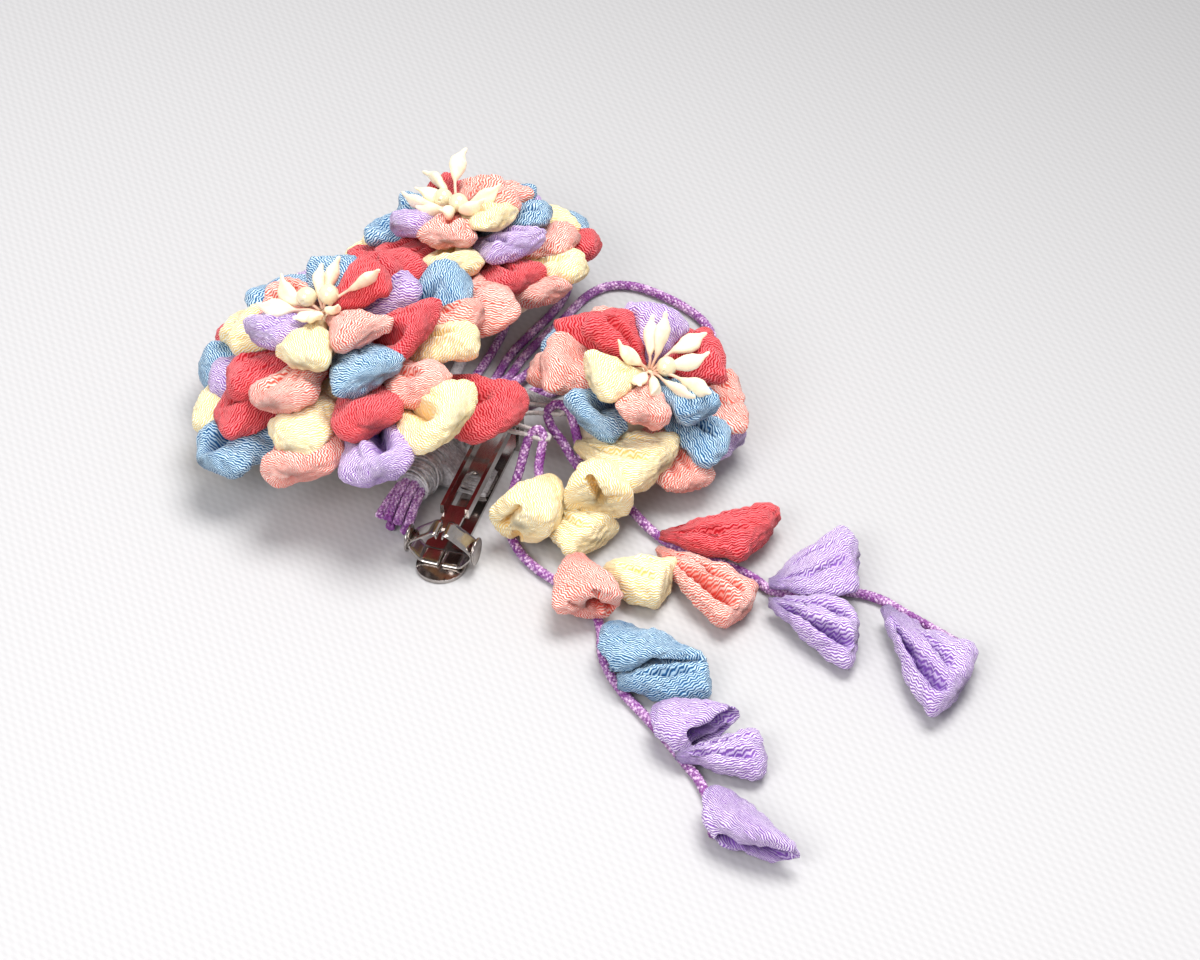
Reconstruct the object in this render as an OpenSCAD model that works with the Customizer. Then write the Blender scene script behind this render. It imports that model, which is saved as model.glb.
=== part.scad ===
// Kanzashi barrette: three crepe flowers and two hanging petal strings on a steel hair clip.
// Millimetres, +Z up. The clip's plate lies flat on the surface, its long side along Y.

/* [Clip] */
// Length of the base plate from its hinge end to its rounded clasp end
plate_len = 43; // [40:0.5:46]
// Width of the base plate between its ends
plate_w = 5.2; // [4.6:0.2:5.6]
// Width of the rounded pad that carries the clasp
pad_w = 9; // [8:0.25:10]
// Thickness of the sheet steel
steel_t = 0.8; // [0.7:0.05:0.9]
// Width of the swinging arm, over its side flanges
arm_w = 5.4; // [5:0.1:5.4]
// Height of the underside of the arm above the surface
arm_z = 5.6; // [5.4:0.1:5.9]
// Height of the arm's side flanges
flange_h = 2; // [1.6:0.1:2]
// Length of the window cut in the arm
window_len = 10; // [8:0.5:11]
// Width of the window cut in the arm
window_w = 3; // [2.6:0.1:3.2]
// Diameter of the hinge pin
pin_d = 1.2; // [1:0.1:1.2]
// Radius of the rounded finger ears of the clasp
ear_r = 2.4; // [2:0.1:2.6]

/* [Flowers] */
// Thickness of the round felt pad under each flower
felt_t = 1.6; // [1.2:0.1:1.8]
// Radius of the hidden post that carries the tiers
post_r = 2.6; // [2:0.1:2.8]
// Radius of the pearl beads
pearl_r = 1.9; // [1.7:0.05:1.9]
// Free space left on each side of a petal, as a share of its place
petal_gap = 0.07; // [0.06:0.01:0.1]

/* [Cords] */
// Diameter of the braided cord
cord_d = 1.9; // [1.7:0.1:1.9]
// Diameter of the paper-wrapped hanger wire
wire_d = 1; // [0.8:0.1:1]
// Diameter of the thread-wrapped flower stems
stem_d = 2.2; // [2:0.1:2.2]
// Diameter of the thread-wrapped bundle beside the clip
wrap_d = 8.2; // [8:0.1:8.4]

/* [Hidden] */
FLOWERS = ["a", "b", "c"];
CLOTH_LETTERS = "csylb";
CLOTHS = ["coral", "salmon", "cream", "lavender", "blue"];
PETAL_TINTS = ["#e85a64", "#f2a095", "#f8e0a2", "#c8a5e1", "#69a5c8"];
STEEL = "silver";
FELT = "#e2c9a4";
THREAD = "#8f8f8f";
CORD = "#964ba0";
PAPER = "#d8d4d0";
PEARL = "#ebe6be";
STAMEN = "#fff2d2";

// Point of the layout that lies under the middle of the clip and flowers
mid = [-27.3, 15.6];

// Clip: centre line, ends, and the hinge that the arm turns on
clip_x = -20.3;
plate_near_y = -36;
plate_far_y = plate_near_y + plate_len;
hinge_y = plate_far_y - 2;
hinge_z = 6.4;
lug_r = 1.6;
lug_t = 0.6;
side_play = 0.15;
pad_len = 10;
neck_len = 3;
arm_tip_y = -28;
flange_near_y = -23.5;
tongue_w = 3.8;
window_near_y = -21.5;
pin_len = arm_w + 2 * (side_play + lug_t);
clasp_y = -33.2;
clasp_len = 6.4;
clasp_t = 0.6;
ear_x = 6.2;
ear_z = 4.5;
bulge_z = 4.7;
clasp_top = 8.4;
wrap_near = [-30.7, -17.5, 4.8];
wrap_far = [-29, 1, 4.8];
lash_y = -12;
lash_len = 8;

// Space between the top of a flower's post and its pearls
pearl_lift = 0.7;
// Half of the widest angle that one petal may fill, in degrees
widest_half = 30;

// Flowers: centre, lean in degrees, the way it leans, felt radius and post height
FLOWER_PLACES = [
    //centre              lean  towards  felt_r  post_h
    [[-47.1, -2.8, 15.9], 16.9, 197,     19,     15.5],
    [[-39.2, 41.3, 10.8], 14,   152,     15,     12],
    [[4, 10.6, 12.4],     20,   343,     12,     7.8]
];

// Tiers of petals, lowest last. Angles are the petals' places round the flower,
// and each letter is a petal's cloth: c coral, s salmon, y cream, l lavender, b blue.
TIERS_A = [
    //root_r root_z pitch length thick  angles                                          cloth
    [3.4,    13.2,  13,   10.8,  5,    [48, 103, 156, 214, 276, 333],                   "cbslys"],
    [4,      8.4,   9,    17,    5.6,  [42, 5, 309, 261, 219, 182, 141, 84],            "lcbscybc"],
    [5,      3.4,   7,    21.8,  6,    [46, 25, 4, 339, 305, 266, 234, 200, 162, 124, 84],
        "bsyscyclysc"],
    [6.5,    -1.6,  2,    26,    6.4,  [0, 330, 303, 273, 243, 213, 183, 153, 126, 30], "cylsbybcls"]
];
TIERS_B = [
    [3.4,    10.2,  10,   9.4,   4.6,  [276, 335, 30, 78, 126, 170, 218],               "sysscbl"],
    [4,      6.3,   8,    14,    4.8,  [288, 336, 24, 72, 120, 177, 232],               "ylbscbc"],
    [4.8,    2.2,   6,    17.8,  5,    [327, 4, 42, 82, 122, 162, 202, 246, 288],       "csyblycbs"],
    [6,      -1.6,  1,    20.5,  5.2,  [325, 353, 21, 51, 81, 111, 141, 171, 201, 231], "sycblcsycs"]
];
TIERS_C = [
    [3.2,    5.8,   17,   11,    4.8,  [228, 285, 345, 42, 92, 148],                    "ysbclc"],
    [4,      1.6,   9,    15.5,  4.8,  [240, 336, 15, 56, 100, 140, 194],               "bbsclcs"],
    [5,      -2.8,  2,    16.5,  4.8,  [320, 357, 37, 78, 118, 157, 186],               "slscsbs"]
];
TIERS = [TIERS_A, TIERS_B, TIERS_C];

// Stamens: angle round the flower, reach outwards and height of the curled head
STAMENS_A = [[190, 12, 2.6], [165, 10.5, 2.6], [114, 8.6, 3.4], [88, 9.4, 3.4], [30, 12.6, 3.6],
    [224, 7, 2.6], [287, 6.4, 2.2], [350, 7, 2.6]];
STAMENS_B = [[135, 11, 4.5], [104, 11, 7], [196, 10, 3], [4, 9.3, 3.2], [322, 9, 2.8],
    [164, 7.4, 3.4], [236, 7.6, 2.6], [282, 7.5, 2.6]];
STAMENS_C = [[203, 7.5, 3.4], [128, 8, 5.2], [94, 7.5, 6.5], [60, 11, 5.6], [14, 9, 5.4],
    [344, 12.5, 5], [256, 8.5, 3.2], [288, 9.5, 3.4], [318, 11, 3.8]];
STAMEN_SETS = [STAMENS_A, STAMENS_B, STAMENS_C];

// Pearls: place across the flower's middle, one row for each bead
PEARL_SETS = [[[-3, 1.4], [1.4, 1.8]], [[-2.7, 0.9], [1.2, -1.1]], [[2.4, 0.5]]];

// Petal outline: place along the petal, width and thickness, as shares of the full size
PETAL_ROWS = [[0, 0.16, 0.3], [0.22, 0.46, 0.62], [0.5, 0.78, 0.92], [0.76, 1, 1], [0.93, 0.8, 0.74]];
STRING_ROWS = [[0, 0.12, 0.3], [0.25, 0.44, 0.6], [0.54, 0.8, 0.92], [0.82, 1, 1], [0.97, 0.7, 0.6]];
MOUTH_ROWS = [[0, 0.28, 0.4], [0.25, 0.62, 0.74], [0.54, 0.88, 0.95], [0.84, 1, 1], [1, 0.92, 0.66]];
LEAF_ROWS = [[0, 0.14, 0.3], [0.2, 0.58, 0.66], [0.45, 1, 0.95], [0.75, 0.86, 1], [0.95, 0.5, 0.6]];
// Cross sections, with one fold along the top, with a tongue between two folds, and smooth
FOLD_SECTION = [[1, 0], [0.72, -0.72], [0, -1], [-0.72, -0.72], [-1, 0], [-0.62, 0.86], [0, 0.56],
    [0.62, 0.86]];
TONGUE_SECTION = [[1, 0], [0.74, -0.72], [0, -1], [-0.74, -0.72], [-1, 0], [-0.78, 0.8],
    [-0.44, 0.1], [0, 0.6], [0.44, 0.1], [0.78, 0.8]];
BACK_SECTION = [[1, 0], [0.74, -0.72], [0, -1], [-0.74, -0.72], [-1, 0], [-0.74, 0.72], [0, 1],
    [0.74, 0.72]];
// Forms of string petals: outline, section, and where the middle of the far end lies
FORMS = [["tongue", STRING_ROWS, TONGUE_SECTION, 1], ["mouth", MOUTH_ROWS, BACK_SECTION, 0.8],
    ["leaf", LEAF_ROWS, TONGUE_SECTION, 1]];

// String petals: name, cloth, pointed root, length, heading, pitch, roll, width, thickness,
// sideways slant of the middle line, form
STRING_PETALS = [
    ["string_1_petal_1", "cream",    [-5.2, -11.3, 7.2],   14,   260, 2,   12,  12.6, 10,  0,     "mouth"],
    ["string_1_petal_2", "cream",    [-0.8, -16.2, 3.2],   12,   322, 0,   0,   9.6,  5.6, 0,     "tongue"],
    ["string_1_petal_3", "salmon",   [3.7, -28.8, 6],      13,   301, 0,   0,   12.6, 7.4, 0,     "mouth"],
    ["string_1_petal_4", "cream",    [11.4, -28.4, 3.6],   9.6,  359, 0,   0,   8.6,  5.8,   0,     "tongue"],
    ["string_1_petal_5", "blue",     [16, -43, 4.8],       10.8, 298, 0,   0,   15,   6.6, 0.7,   "mouth"],
    ["string_1_petal_6", "blue",     [21.8, -55.2, 2.6],   14,   27,  0,   0,   6,    4.4, 0,     "tongue"],
    ["string_1_petal_7", "lavender", [28.8, -59.4, 4.8],   10,   322, 0,   0,   14,   6.4, 0.37,  "mouth"],
    ["string_1_petal_8", "lavender", [35.4, -68, 2.9],     14,   19,  0,   0,   9.4,  5.4, 0,     "tongue"],
    ["string_1_petal_9", "lavender", [44.2, -75.6, 4.6],   10.6, 268, 0,   0,   15.2, 6.6, 0.92,  "mouth"],
    ["string_2_petal_1", "cream",    [3.3, -9.3, 8.6],     9,    283, -2,  -6,  11.4, 7.6, 0,     "mouth"],
    ["string_2_petal_2", "cream",    [-2.8, -2.8, 9.6],    15.2, 342, 0,   0,   12.8, 5.4, 0.2,   "tongue"],
    ["string_2_petal_3", "coral",    [16.4, -15.6, 3.8],   17.8, 351, 4,   0,   15,   6.4, 0.5,   "tongue"],
    ["string_2_petal_4", "salmon",   [16.8, -19.2, 3.4],   22,   343, 1,   0,   12.4, 6.4, -0.24, "tongue"],
    ["string_2_petal_5", "lavender", [38.4, -22.8, 4.2],   16.2, 21,  4,   0,   15.4, 5.4, 0.34,  "tongue"],
    ["string_2_petal_6", "lavender", [39.4, -26.8, 3.4],   16.2, 12,  0,   0,   15.6, 6,   -0.5,  "tongue"],
    ["string_2_petal_7", "lavender", [60.6, -22.9, 3.8],   26.6, 309, 0,   0,   13.4, 7,   0,     "leaf"]
];

// Cord routes, chosen by hand, from where each cord leaves its knot or wrap
STRING_1_ROUTE = [[-6.6, -9.8, 7], [-6.4, -7.4, 8.6], [-6.8, -5.2, 10.4], [-8, -4.2, 12.2],
    [-10.2, -4.2, 13], [-12.2, -5, 12], [-13, -6.6, 9.8], [-13.2, -9, 7.2], [-13.4, -12, 4.2],
    [-12.8, -15.6, 1.8], [-11.4, -19, 1], [-9.4, -22.4, 1], [-6.5, -25.6, 1], [-2.5, -28.4, 1],
    [2, -30.6, 1], [6.5, -33, 1], [10.2, -36.2, 1], [12.6, -40.6, 1], [14.2, -45.4, 1],
    [17, -50, 1], [21, -54.4, 1], [26, -58.6, 1], [30.8, -62.8, 1], [35.2, -67, 1],
    [39.4, -71.2, 1], [42.6, -76.2, 1], [44.8, -82.4, 1]];
STRING_2_ROUTE = [[-2.4, -2.8, 6.8], [-4, -0.5, 8.4], [-5.6, 2, 10.2], [-7.2, 4, 11.8],
    [-9.4, 4, 12.8], [-10.8, 2.4, 12], [-9.6, 0.6, 10.2], [-7, -0.8, 8.2], [-4.2, -2.8, 6],
    [-0.6, -5.2, 4.4], [3.8, -6.8, 3.4], [8.4, -8.8, 2.4], [12.4, -11.4, 1.4], [16.4, -13.8, 1],
    [21, -15.6, 1], [25.6, -16.6, 1], [30.2, -17.4, 1], [34.6, -19, 1], [38.6, -21.2, 1],
    [43.2, -20.6, 1], [48, -18.4, 1], [53, -17.4, 1], [58, -18, 1], [62.8, -20.2, 1],
    [69, -23, 1], [75.4, -26, 1]];
LOOP_1_ROUTE = [[-30.2, 1, 6.9], [-28.6, 8, 5.4], [-26.6, 15, 3.2], [-24.9, 22, 1.6],
    [-24.4, 29, 1], [-22.8, 35.6, 1], [-20.8, 41.6, 1], [-19.6, 47, 1], [-18, 52, 1],
    [-15.2, 55.6, 1], [-10.8, 57, 1], [-5.2, 56, 1], [0.6, 53.6, 1], [5.6, 50.2, 1],
    [8.8, 45.4, 1], [8.4, 39.8, 1], [4.6, 35.8, 1], [-1, 33, 1], [-6.6, 29.6, 1],
    [-12, 25, 1], [-16.4, 19.8, 1.2], [-20, 14.6, 2], [-23.4, 9.8, 3.4], [-25.6, 5, 4.4],
    [-26.6, 1, 4.8]];
LOOP_2_ROUTE = [[-30.2, 1, 2.7], [-29, 8, 1.8], [-28, 15, 1.1], [-27.4, 22, 1],
    [-27, 29, 1], [-25.4, 36, 1], [-23.6, 42.6, 1], [-22.6, 49, 1], [-23.4, 55, 1],
    [-27.2, 58.4, 1], [-31.4, 56.6, 1], [-33, 51.4, 1], [-32.2, 45, 1], [-30.8, 38, 1],
    [-30.6, 30, 1], [-31.2, 22, 1], [-31.8, 14, 1.6], [-31.8, 7.4, 3], [-31.4, 1, 4.8]];
LOOP_3_ROUTE = [[-27.8, 1, 6.9], [-25.8, 8, 6.2], [-23.8, 15, 4.4], [-22, 22, 2.4],
    [-20.6, 28, 1.4], [-19.2, 33.4, 1], [-18.4, 38.4, 1], [-16.2, 41.8, 1], [-12.6, 41.4, 1],
    [-11.4, 37.6, 1], [-13, 32, 1], [-15.8, 26, 1], [-19, 20.4, 1], [-22.6, 14.6, 1],
    [-25.6, 8, 1.6], [-27.8, 1, 2.7]];

// Hanger wires, from inside the wrap over the arm to a narrow hook
WIRE_1_ROUTE = [[-28, -6, 7.6], [-25.2, -5.7, 10.6], [-22.3, -5.3, 11.7], [-17.5, -5.3, 12],
    [-11.8, -5.3, 12], [-9.6, -5.5, 11.8], [-8.4, -5, 11.7], [-8.4, -4, 11.7], [-9.6, -3.5, 11.8],
    [-12.6, -3.3, 12], [-15.8, -3, 12.2]];
WIRE_2_ROUTE = [[-27.8, -3.4, 7.6], [-25, -3, 10.4], [-22, -2.4, 11.5], [-18, -0.8, 11.8],
    [-13.6, 1.2, 11.9], [-9.6, 2.3, 11.7], [-8.2, 2.9, 11.6], [-8.3, 3.9, 11.6], [-9.6, 4.2, 11.7],
    [-12.4, 3.9, 11.9], [-15.2, 3.2, 12.1]];

// Flower stems, from the felt pad to the wrap
STEM_A_ROUTE = [[-45.3, -2.3, 10], [-41.4, -2.8, 8], [-37, -3, 6.6], [-32.6, -3, 5.8]];
STEM_B_ROUTE = [[-38.3, 40.6, 6.8], [-36.8, 35, 3], [-35.4, 27, 1.8], [-34.8, 18, 1.8],
    [-34.6, 10, 2.4], [-34.2, 4, 2.8], [-33.2, 0, 3.2]];
STEM_C_ROUTE = [[2.1, 11.2, 7.3], [-3, 11.6, 4.8], [-9, 12, 4.6], [-15, 11.4, 6.4],
    [-20.4, 9.6, 9.2], [-24.6, 6, 9.8], [-27.2, 2.2, 9.4], [-28.6, -1, 8]];
STEM_ROUTES = [STEM_A_ROUTE, STEM_B_ROUTE, STEM_C_ROUTE];

// Cut tails of the cords: start and end of each, fanned out before the wrap
TAIL_STARTS = [[-32.7, 4.8], [-31.7, 6.7], [-29.7, 6.7], [-28.7, 4.8], [-29.7, 2.9], [-31.7, 2.9]];
TAIL_ENDS = [[-34.6, -24.6, 2.6], [-32.6, -26, 3.9], [-30.2, -26.4, 3.8], [-27.8, -26.2, 3.2],
    [-29, -26, 1.1], [-32, -25.4, 1.1]];

function unit(v) = v / norm(v);
// Tangents of a path, and a twist-free side direction carried along it
function tangents(p) = [for (i = [0:len(p) - 1]) unit(p[min(i + 1, len(p) - 1)] - p[max(i - 1, 0)])];
function carried(t, side, i = 0) = i == len(t) ? [] :
    let(s = unit(side - (side * t[i]) * t[i])) concat([s], carried(t, s, i + 1));
function first_side(t) = abs(t.z) < 0.8 ? cross(t, [0, 0, 1]) : cross(t, [0, 1, 0]);

// Faces of a skin of rings: the sides between rings, and the two ends
function side_faces(rings, n) = [for (i = [0:rings - 2], j = [0:n - 1])
    [i * n + j, i * n + (j + 1) % n, (i + 1) * n + (j + 1) % n, (i + 1) * n + j]];
function start_face(n) = [[for (j = [n - 1:-1:0]) j]];
function end_face(rings, n) = [[for (j = [0:n - 1]) (rings - 1) * n + j]];

// Round tube along a path, with one radius for each ring
module tube(path, radii, sides) {
    t = tangents(path);
    s = carried(t, first_side(t[0]));
    points = [for (i = [0:len(path) - 1], j = [0:sides - 1])
        let(a = -360 * j / sides) path[i] + radii[i] * (cos(a) * s[i] + sin(a) * cross(t[i], s[i]))];
    polyhedron(points, concat(side_faces(len(path), sides), start_face(sides),
        end_face(len(path), sides)));
}

module cord(path, d, sides = 6) tube(path, [for (p = path) d / 2], sides);

// Folded petal along +X from its root, skinned through the rows of its outline
module petal(length, width, thick, rows, section, slant = 0, tip_at = 1) {
    n = len(section);
    points = concat([for (r = rows, s = section) [r[0] * length,
        s[0] * r[1] * width / 2 + slant * r[0] * length, s[1] * r[2] * thick / 2]],
        [[tip_at * length, slant * tip_at * length, -0.06 * thick]]);
    last = (len(rows) - 1) * n;
    tip = [for (j = [0:n - 1]) [last + j, last + (j + 1) % n, len(rows) * n]];
    polyhedron(points, concat(side_faces(len(rows), n), start_face(n), tip));
}

// Angles of the borders between a tier's petals, and the smallest width its places leave
function turn(a, b) = ((a - b) % 360 + 360) % 360;
function next_gap(angles, i, way) = min([for (j = [0:len(angles) - 1]) if (j != i)
    way > 0 ? turn(angles[j], angles[i]) : turn(angles[i], angles[j])]);
// Half of a petal's place on one side; beside an empty place it is the same as on the other
function side_room(angles, i, way) = next_gap(angles, i, way) / 2 > widest_half ?
    min(widest_half, next_gap(angles, i, -way) / 2) : next_gap(angles, i, way) / 2;
function place_width(tier, half) = min([for (r = PETAL_ROWS) if (r[0] > 0)
    2 * (tier[0] + r[0] * tier[3] * cos(tier[2]) - 0.25 * tier[4] * sin(tier[2])) * tan(half)
    * (1 - petal_gap) / r[1]]);

// Petals of one cloth in one tier
module tier_petals(tier, letter) {
    for (i = [0:len(tier[5]) - 1]) if (tier[6][i] == letter) {
        ahead = side_room(tier[5], i, 1);
        behind = side_room(tier[5], i, -1);
        rotate(tier[5][i] + (ahead - behind) / 2) translate([tier[0], 0, tier[1]])
            rotate([0, -tier[2], 0])
                petal(tier[3], place_width(tier, (ahead + behind) / 2), tier[4], PETAL_ROWS,
                    FOLD_SECTION);
    }
}

// Moves a flower's own frame to its place on the clip
module at_flower(k) {
    place = FLOWER_PLACES[k];
    translate(place[0]) rotate(place[1], [-sin(place[2]), cos(place[2]), 0]) children();
}

module flower_petals(k, c) {
    color(PETAL_TINTS[c]) at_flower(k) for (tier = TIERS[k]) tier_petals(tier, CLOTH_LETTERS[c]);
}

// Round felt pad under a flower, with the post that its tiers are glued round
module flower_base(k) {
    lowest = TIERS[k][len(TIERS[k]) - 1];
    top = lowest[1] - lowest[4] / 2 - 0.2;
    color(FELT) at_flower(k) {
        translate([0, 0, top - felt_t]) cylinder(h = felt_t, r = FLOWER_PLACES[k][3], $fn = 48);
        translate([0, 0, top - felt_t]) cylinder(h = FLOWER_PLACES[k][4] - top + felt_t,
            r = post_r, $fn = 32);
    }
}

module flower_stem(k) color(THREAD) cord(STEM_ROUTES[k], stem_d);

// Thread stamens with curled heads, each one loose solid rising round the post
module flower_stamens(k) {
    start_r = post_r + 0.8;
    start_z = FLOWER_PLACES[k][4] - 0.2;
    shape = [[0, 0, 0.3], [0.4, 0.55, 0.3], [0.62, 0.8, 0.75], [0.8, 0.92, 1.2], [0.93, 1, 0.9],
        [1.02, 1.16, 0.25]];
    color(STAMEN) at_flower(k) for (s = STAMEN_SETS[k])
        rotate(s[0]) tube([for (p = shape) [start_r + p[0] * (s[1] - start_r), 0,
            start_z + p[1] * (s[2] + 0.2)]], [for (p = shape) p[2]], 5);
}

module flower_pearls(k) {
    color(PEARL) at_flower(k) for (p = PEARL_SETS[k])
        translate([p.x, p.y, FLOWER_PLACES[k][4] + pearl_r + pearl_lift]) sphere(r = pearl_r, $fn = 32);
}

// Plate seen from above, with the rounded pad at its near end
module plate_outline() {
    pad_r = pad_w / 2;
    translate([0, plate_near_y + pad_r]) circle(r = pad_r, $fn = 48);
    translate([-pad_r, plate_near_y + pad_r]) square([pad_w, pad_len - pad_r]);
    pad_far = plate_near_y + pad_len;
    polygon([[-pad_r, pad_far], [pad_r, pad_far], [plate_w / 2, pad_far + neck_len],
        [-plate_w / 2, pad_far + neck_len]]);
    translate([-plate_w / 2, pad_far]) square([plate_w, plate_far_y - pad_far]);
}

// Base plate, with two lugs that hold the hinge pin
module clip_plate() {
    color(STEEL) difference() {
        translate([clip_x, 0, 0]) {
            linear_extrude(steel_t) plate_outline();
            for (side = [-1, 1])
                translate([side * (arm_w / 2 + side_play + lug_t / 2), hinge_y, 0]) {
                    translate([-lug_t / 2, -lug_r, 0]) cube([lug_t, 2 * lug_r, hinge_z]);
                    translate([-lug_t / 2, 0, hinge_z]) rotate([0, 90, 0])
                        cylinder(h = lug_t, r = lug_r, $fn = 32);
                }
            translate([-pin_len / 2, hinge_y - lug_r, 0]) cube([pin_len, 2 * lug_r, steel_t]);
        }
        translate([clip_x - pin_len, hinge_y, hinge_z]) rotate([0, 90, 0])
            cylinder(h = 2 * pin_len, d = pin_d, $fn = 32);
    }
}

module clip_hinge_pin() {
    color(STEEL) translate([clip_x - pin_len / 2, hinge_y, hinge_z]) rotate([0, 90, 0])
        cylinder(h = pin_len, d = pin_d, $fn = 32);
}

// Swinging arm: a channel with its flanges up, a window near its tip and a catch tongue
module clip_arm() {
    far_y = hinge_y + lug_r;
    wall = steel_t * 0.85;
    color(STEEL) difference() {
        translate([clip_x, 0, 0]) {
            translate([-arm_w / 2, flange_near_y, arm_z])
                cube([arm_w, far_y - flange_near_y, wall]);
            for (x = [-arm_w / 2, arm_w / 2 - wall]) {
                translate([x, flange_near_y, arm_z]) cube([wall, hinge_y - flange_near_y, flange_h]);
                translate([x, hinge_y, hinge_z]) rotate([0, 90, 0])
                    cylinder(h = wall, r = lug_r, $fn = 32);
            }
            translate([-tongue_w / 2, arm_tip_y, arm_z])
                cube([tongue_w, flange_near_y - arm_tip_y, wall]);
        }
        translate([clip_x - window_w / 2, window_near_y, arm_z - 1])
            cube([window_w, window_len - window_w / 2, flange_h]);
        translate([clip_x, window_near_y + window_len - window_w / 2, arm_z - 1])
            cylinder(h = flange_h, d = window_w, $fn = 32);
        translate([clip_x - arm_w, hinge_y, hinge_z]) rotate([0, 90, 0])
            cylinder(h = 2 * arm_w, d = pin_d + 0.1, $fn = 32);
    }
}

// One leg of the sprung clasp, seen along the clip: foot, bulge and hook over the tongue
module clasp_leg() {
    foot_x = pad_w / 2 - 0.6;
    translate([0, clasp_len / 2, 0]) rotate([90, 0, 0]) linear_extrude(clasp_len)
        polygon([[0, steel_t], [foot_x, steel_t], [ear_x, bulge_z], [2.4, clasp_top],
            [0.5, clasp_top], [0.5, clasp_top - clasp_t], [2.2, clasp_top - clasp_t],
            [ear_x - 0.9, bulge_z], [foot_x - 0.5, steel_t + clasp_t], [0, steel_t + clasp_t]]);
}

// Sprung clasp on the pad: two legs that bow out to finger ears and lean in over the tongue
module clip_clasp() {
    color(STEEL) translate([clip_x, clasp_y + clasp_len / 2, 0])
        for (side = [0, 1]) mirror([side, 0, 0]) {
            clasp_leg();
            translate([ear_x - 0.7, 0, ear_z]) rotate([0, 90, 0])
                cylinder(h = clasp_t + 0.5, r = ear_r, $fn = 32);
        }
}

// Thread wound round the bundle, with the lashing that ties it over the base plate
module thread_wrap() {
    reach = wrap_far - wrap_near;
    color(THREAD) {
        translate(wrap_near) rotate([-90, 0, -atan2(reach.x, reach.y)])
            cylinder(h = norm(reach), d = wrap_d, $fn = 48);
        translate([0, lash_y + lash_len, 0]) rotate([90, 0, 0]) linear_extrude(lash_len)
            polygon([[-28, 1.6], [clip_x - plate_w / 2, steel_t], [clip_x + 2, steel_t],
                [clip_x + 2, steel_t + 0.6], [clip_x - 2.4, steel_t + 0.9], [-24.8, 5], [-28, 6.5]]);
    }
}

module cord_tails() {
    color(CORD) for (i = [0:len(TAIL_ENDS) - 1]) {
        start = [TAIL_STARTS[i][0], wrap_near.y - 0.1, TAIL_STARTS[i][1]];
        middle = (start + TAIL_ENDS[i]) / 2;
        cord([start, middle, TAIL_ENDS[i]], cord_d);
    }
}

module cord_loop(route) color(CORD) cord(route, cord_d, 7);
module hanger_wire(route) color(PAPER) cord(route, wire_d);

module string_petal(row) {
    index = [for (i = [0:len(CLOTHS) - 1]) if (CLOTHS[i] == row[1]) i][0];
    form = [for (f = FORMS) if (f[0] == row[10]) f][0];
    color(PETAL_TINTS[index]) translate(row[2]) rotate([0, -row[5], row[4]]) rotate([row[6], 0, 0])
        petal(row[3], row[7], row[8], form[1], form[2], row[9], form[3]);
}

// Puts the layout's middle over the origin
module laid() translate([-mid.x, -mid.y, 0]) children();

laid() clip_plate();
laid() clip_hinge_pin();
laid() clip_arm();
laid() clip_clasp();
laid() thread_wrap();
laid() cord_tails();
laid() cord_loop(LOOP_1_ROUTE);  // cord_loop_1
laid() cord_loop(LOOP_2_ROUTE);  // cord_loop_2
laid() cord_loop(LOOP_3_ROUTE);  // cord_loop_3
laid() hanger_wire(WIRE_1_ROUTE);  // hanger_wire_1
laid() hanger_wire(WIRE_2_ROUTE);  // hanger_wire_2
laid() cord_loop(STRING_1_ROUTE);  // string_1_cord
laid() cord_loop(STRING_2_ROUTE);  // string_2_cord
for (k = [0:len(FLOWERS) - 1]) {
    stock = str("flower_", FLOWERS[k], "_");
    laid() flower_base(k);
    laid() flower_stem(k);
    laid() flower_stamens(k);
    laid() flower_pearls(k);
    for (c = [0:len(CLOTHS) - 1])
        laid() flower_petals(k, c);
}
for (row = STRING_PETALS) laid() string_petal(row);
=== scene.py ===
import bpy
import math
import numpy as np
from functools import partial
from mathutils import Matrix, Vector


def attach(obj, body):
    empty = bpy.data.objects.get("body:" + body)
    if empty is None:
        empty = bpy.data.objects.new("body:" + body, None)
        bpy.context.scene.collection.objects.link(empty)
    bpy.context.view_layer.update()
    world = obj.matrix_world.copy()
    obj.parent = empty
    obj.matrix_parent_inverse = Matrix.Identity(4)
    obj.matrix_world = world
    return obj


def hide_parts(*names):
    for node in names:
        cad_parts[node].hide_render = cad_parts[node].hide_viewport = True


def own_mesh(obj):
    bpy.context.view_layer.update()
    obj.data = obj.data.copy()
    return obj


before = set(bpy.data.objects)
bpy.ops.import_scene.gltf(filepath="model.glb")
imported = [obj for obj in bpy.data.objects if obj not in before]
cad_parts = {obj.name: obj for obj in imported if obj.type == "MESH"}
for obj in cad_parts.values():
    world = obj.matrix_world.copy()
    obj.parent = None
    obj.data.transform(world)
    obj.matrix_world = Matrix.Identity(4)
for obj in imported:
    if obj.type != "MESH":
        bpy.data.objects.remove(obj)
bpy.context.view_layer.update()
mm = 0.001
fullTurn = 2 * math.pi
middle = np.array([-27.3, 15.6, 0.0])  # the layout's point that lies over the origin

cameraLook = {
    "place": (0.17825, -0.50934, 0.44097),
    "aim": (0.0273, -0.0156, 0.0),
    "lens": 110,
    "sensor": 36,
    "nearest": 0.01,
}
lightRig = {
    "tentLight": {"place": (0.10, 0.10, 0.62), "aim": (0.03, -0.02, 0.0), "width": 0.40, "power": 4.35,
                  "colour": (1.0, 0.99, 0.975)},
    "frontLight": {"place": (-0.10, -0.52, 0.42), "aim": (0.02, -0.30, 0.0), "width": 0.36, "power": 2.0,
                   "colour": (1.0, 0.985, 0.98)},
}
worldLook = {"colour": (0.97, 0.97, 1.0, 1.0), "strength": 0.59}


def aimAt(thing, place, aim):
    thing.location = place
    thing.rotation_euler = (Vector(aim) - Vector(place)).to_track_quat("-Z", "Y").to_euler()


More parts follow.
